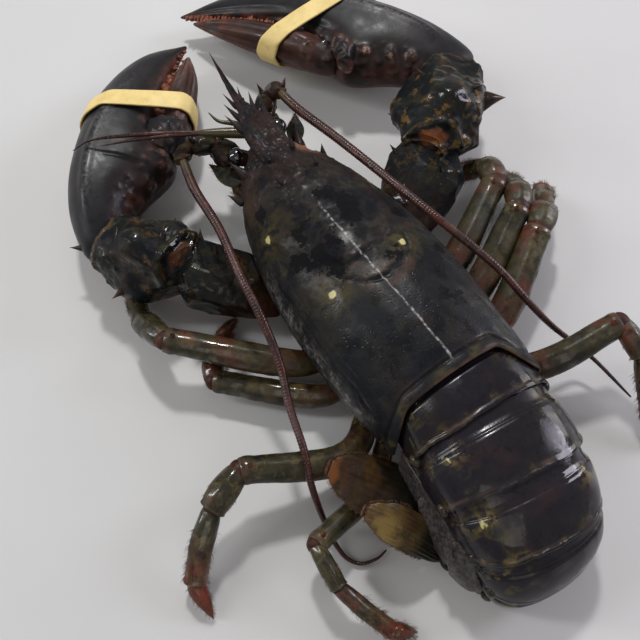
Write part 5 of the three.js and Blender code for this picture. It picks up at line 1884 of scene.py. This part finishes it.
# %% The belly plate
plate = loft([(BODY_X, 0, 6.3), (BODY_X, 50, 6.3), (BODY_X, 104, 6.6)],
             scaled([0.75, 1, 1, 0.9, 0.6], 14.5), top=[5.8, 5.9, 5.9, 5.7, 5],
             bottom=[6.0, 6.0, 6.0, 6.0, 5.4], rows=170, columns=120, blunt=0.3, square=3.2)
belly_y = plate.points[..., 1]
LEG_PITCH = 12.0
between = np.abs(((belly_y - 14) / LEG_PITCH) % 1 - 0.5) * LEG_PITCH
plate.push(-0.9 * hump(LEG_PITCH / 2, between, 1.2) - 0.9 * hump(plate.points[..., 0], BODY_X, 1.0))
plate.push(0.2 * uneven(plate, 6, 601))
plate.stay_above(0.2)
plate.mark(groove=0.4 * hump(LEG_PITCH / 2, between, 0.8),
           warm=0.3 * patches(plate, 6, 602, 0, 0.5))
make_piece("sternum", [plate], "belly shell")
print("belly plate done")

# %% [markdown]
# ## Soft pads and bristles
# The pads in the joints and the bristles of the feet were gathered on the way. Each kind becomes
# one piece that stands for no solid of the frame.


# %% Gather pads and bristles
make_piece("joint_pads", soft_pads, "pad", stands_in=False)
make_piece("bristles", foot_hairs, "hair", stands_in=False)
make_piece("fan_fringe", fringes, "hair", stands_in=False)
print("pieces in all:", len(made))

# %% [markdown]
# ## The board
# The animal lies on a plain pale board. One square does for it, far larger than the view, with a
# faint mottle so that it doesn't look printed.

# %% The board
HALF = 3.0  # metres
BOARD_SHADES = (0.455, 0.457, 0.455), (0.50, 0.502, 0.50)
floor_mesh = bpy.data.meshes.new("board")
corners = [(-HALF, -HALF, 0), (HALF, -HALF, 0), (HALF, HALF, 0), (-HALF, HALF, 0)]
floor_mesh.from_pydata(corners, [], [(0, 1, 2, 3)])
plain_finish("board", lambda w, here: w.mix(w.noise(here, 60), *BOARD_SHADES), 0.5)
floor_mesh.materials.append(FINISHES["board"])
floor = new_object("board", floor_mesh)
floor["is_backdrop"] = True
print("board:", 2 * HALF, "m wide")

# %% [markdown]
# ## The light
# A wet shell shows its light sources as glints, so each light is a rectangle like a window. The
# small key light draws the shadows, broad weak ones fill them, and the two on the right leave the
# pale panes on the tail. A world that is bright all round lifts what no light reaches.

# %% The room
ROOM_COLOUR = (1.0, 0.965, 0.955, 1.0)
ROOM_STRENGTH = 0.31
world = bpy.data.worlds.new("soft room")
bpy.context.scene.world = world
world.use_nodes = True
background = world.node_tree.nodes["Background"]
background.inputs["Color"].default_value = ROOM_COLOUR
background.inputs["Strength"].default_value = ROOM_STRENGTH
print("the room's strength is", ROOM_STRENGTH)


# %% Windows
def window(name, place, target, width, height, watts, colour):
    """A soft rectangular light that faces its target."""
    light = bpy.data.lights.new(name, "AREA")
    light.shape, light.size, light.size_y = "RECTANGLE", width, height
    light.energy, light.color = watts, colour
    lamp = new_object(name, light)
    lamp.location = place
    lamp.rotation_euler = (Vector(target) - Vector(place)).to_track_quat("-Z", "Y").to_euler()


LEVEL, RAISED = (0, 0, 0), (0, 0, 0.03)  # what they face: the board, or just above it
window("key", (0.353, 0.69, 1.283), LEVEL, 0.13, 0.13, 10.7, (1.0, 0.99, 0.98))
window("far window", (0.55, 0.75, 1.15), LEVEL, 0.55, 0.42, 2.0, (1.0, 0.985, 0.97))
window("right window", (1.05, -0.35, 0.6), RAISED, 0.36, 0.55, 6.5, (0.90, 0.86, 1.0))
window("right panel", (1.1, -0.1, 0.3), RAISED, 0.5, 0.36, 2.0, (0.95, 0.94, 1.0))
window("left panel", (-0.95, 0.75, 0.85), LEVEL, 0.18, 1.1, 10.5, (0.97, 0.98, 1.0))
window("near panel", (-0.7, -1.0, 1.3), LEVEL, 1.2, 1.0, 4, (1.0, 0.94, 0.90))
print("windows:", len(bpy.data.lights))

# %% [markdown]
# ## The camera
# The camera looks down steeply from behind the left flank. It could be placed by three numbers,
# but a direction and a distance from a point on the board are easier to set one at a time.

# %% The camera
CAMERA_AZIMUTH, CAMERA_HEIGHT = math.radians(-34.6), math.radians(63)
CAMERA_DISTANCE = 0.333  # metres
LENS, SENSOR = 46.86, 36.0  # millimetres
aim = Vector(in_frame((-12.07, 60.42, 0)))
level = math.cos(CAMERA_HEIGHT)
toward = Vector((math.sin(CAMERA_AZIMUTH) * level, -math.cos(CAMERA_AZIMUTH) * level,
                 math.sin(CAMERA_HEIGHT)))
camera_data = bpy.data.cameras.new("camera")
camera_data.lens, camera_data.sensor_width = LENS, SENSOR
camera = new_object("camera", camera_data)
camera.location = aim + toward * CAMERA_DISTANCE
camera.rotation_euler = (-toward).to_track_quat("-Z", "Y").to_euler()
bpy.context.scene.camera = camera
bpy.context.scene.view_settings.view_transform = "Standard"
print("camera at", [round(v, 3) for v in camera.location])

# %% Measure the bounds and count the faces
low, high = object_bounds()
faces = sum(len(p.data.polygons) for p in made)
print("faces in all:", faces)
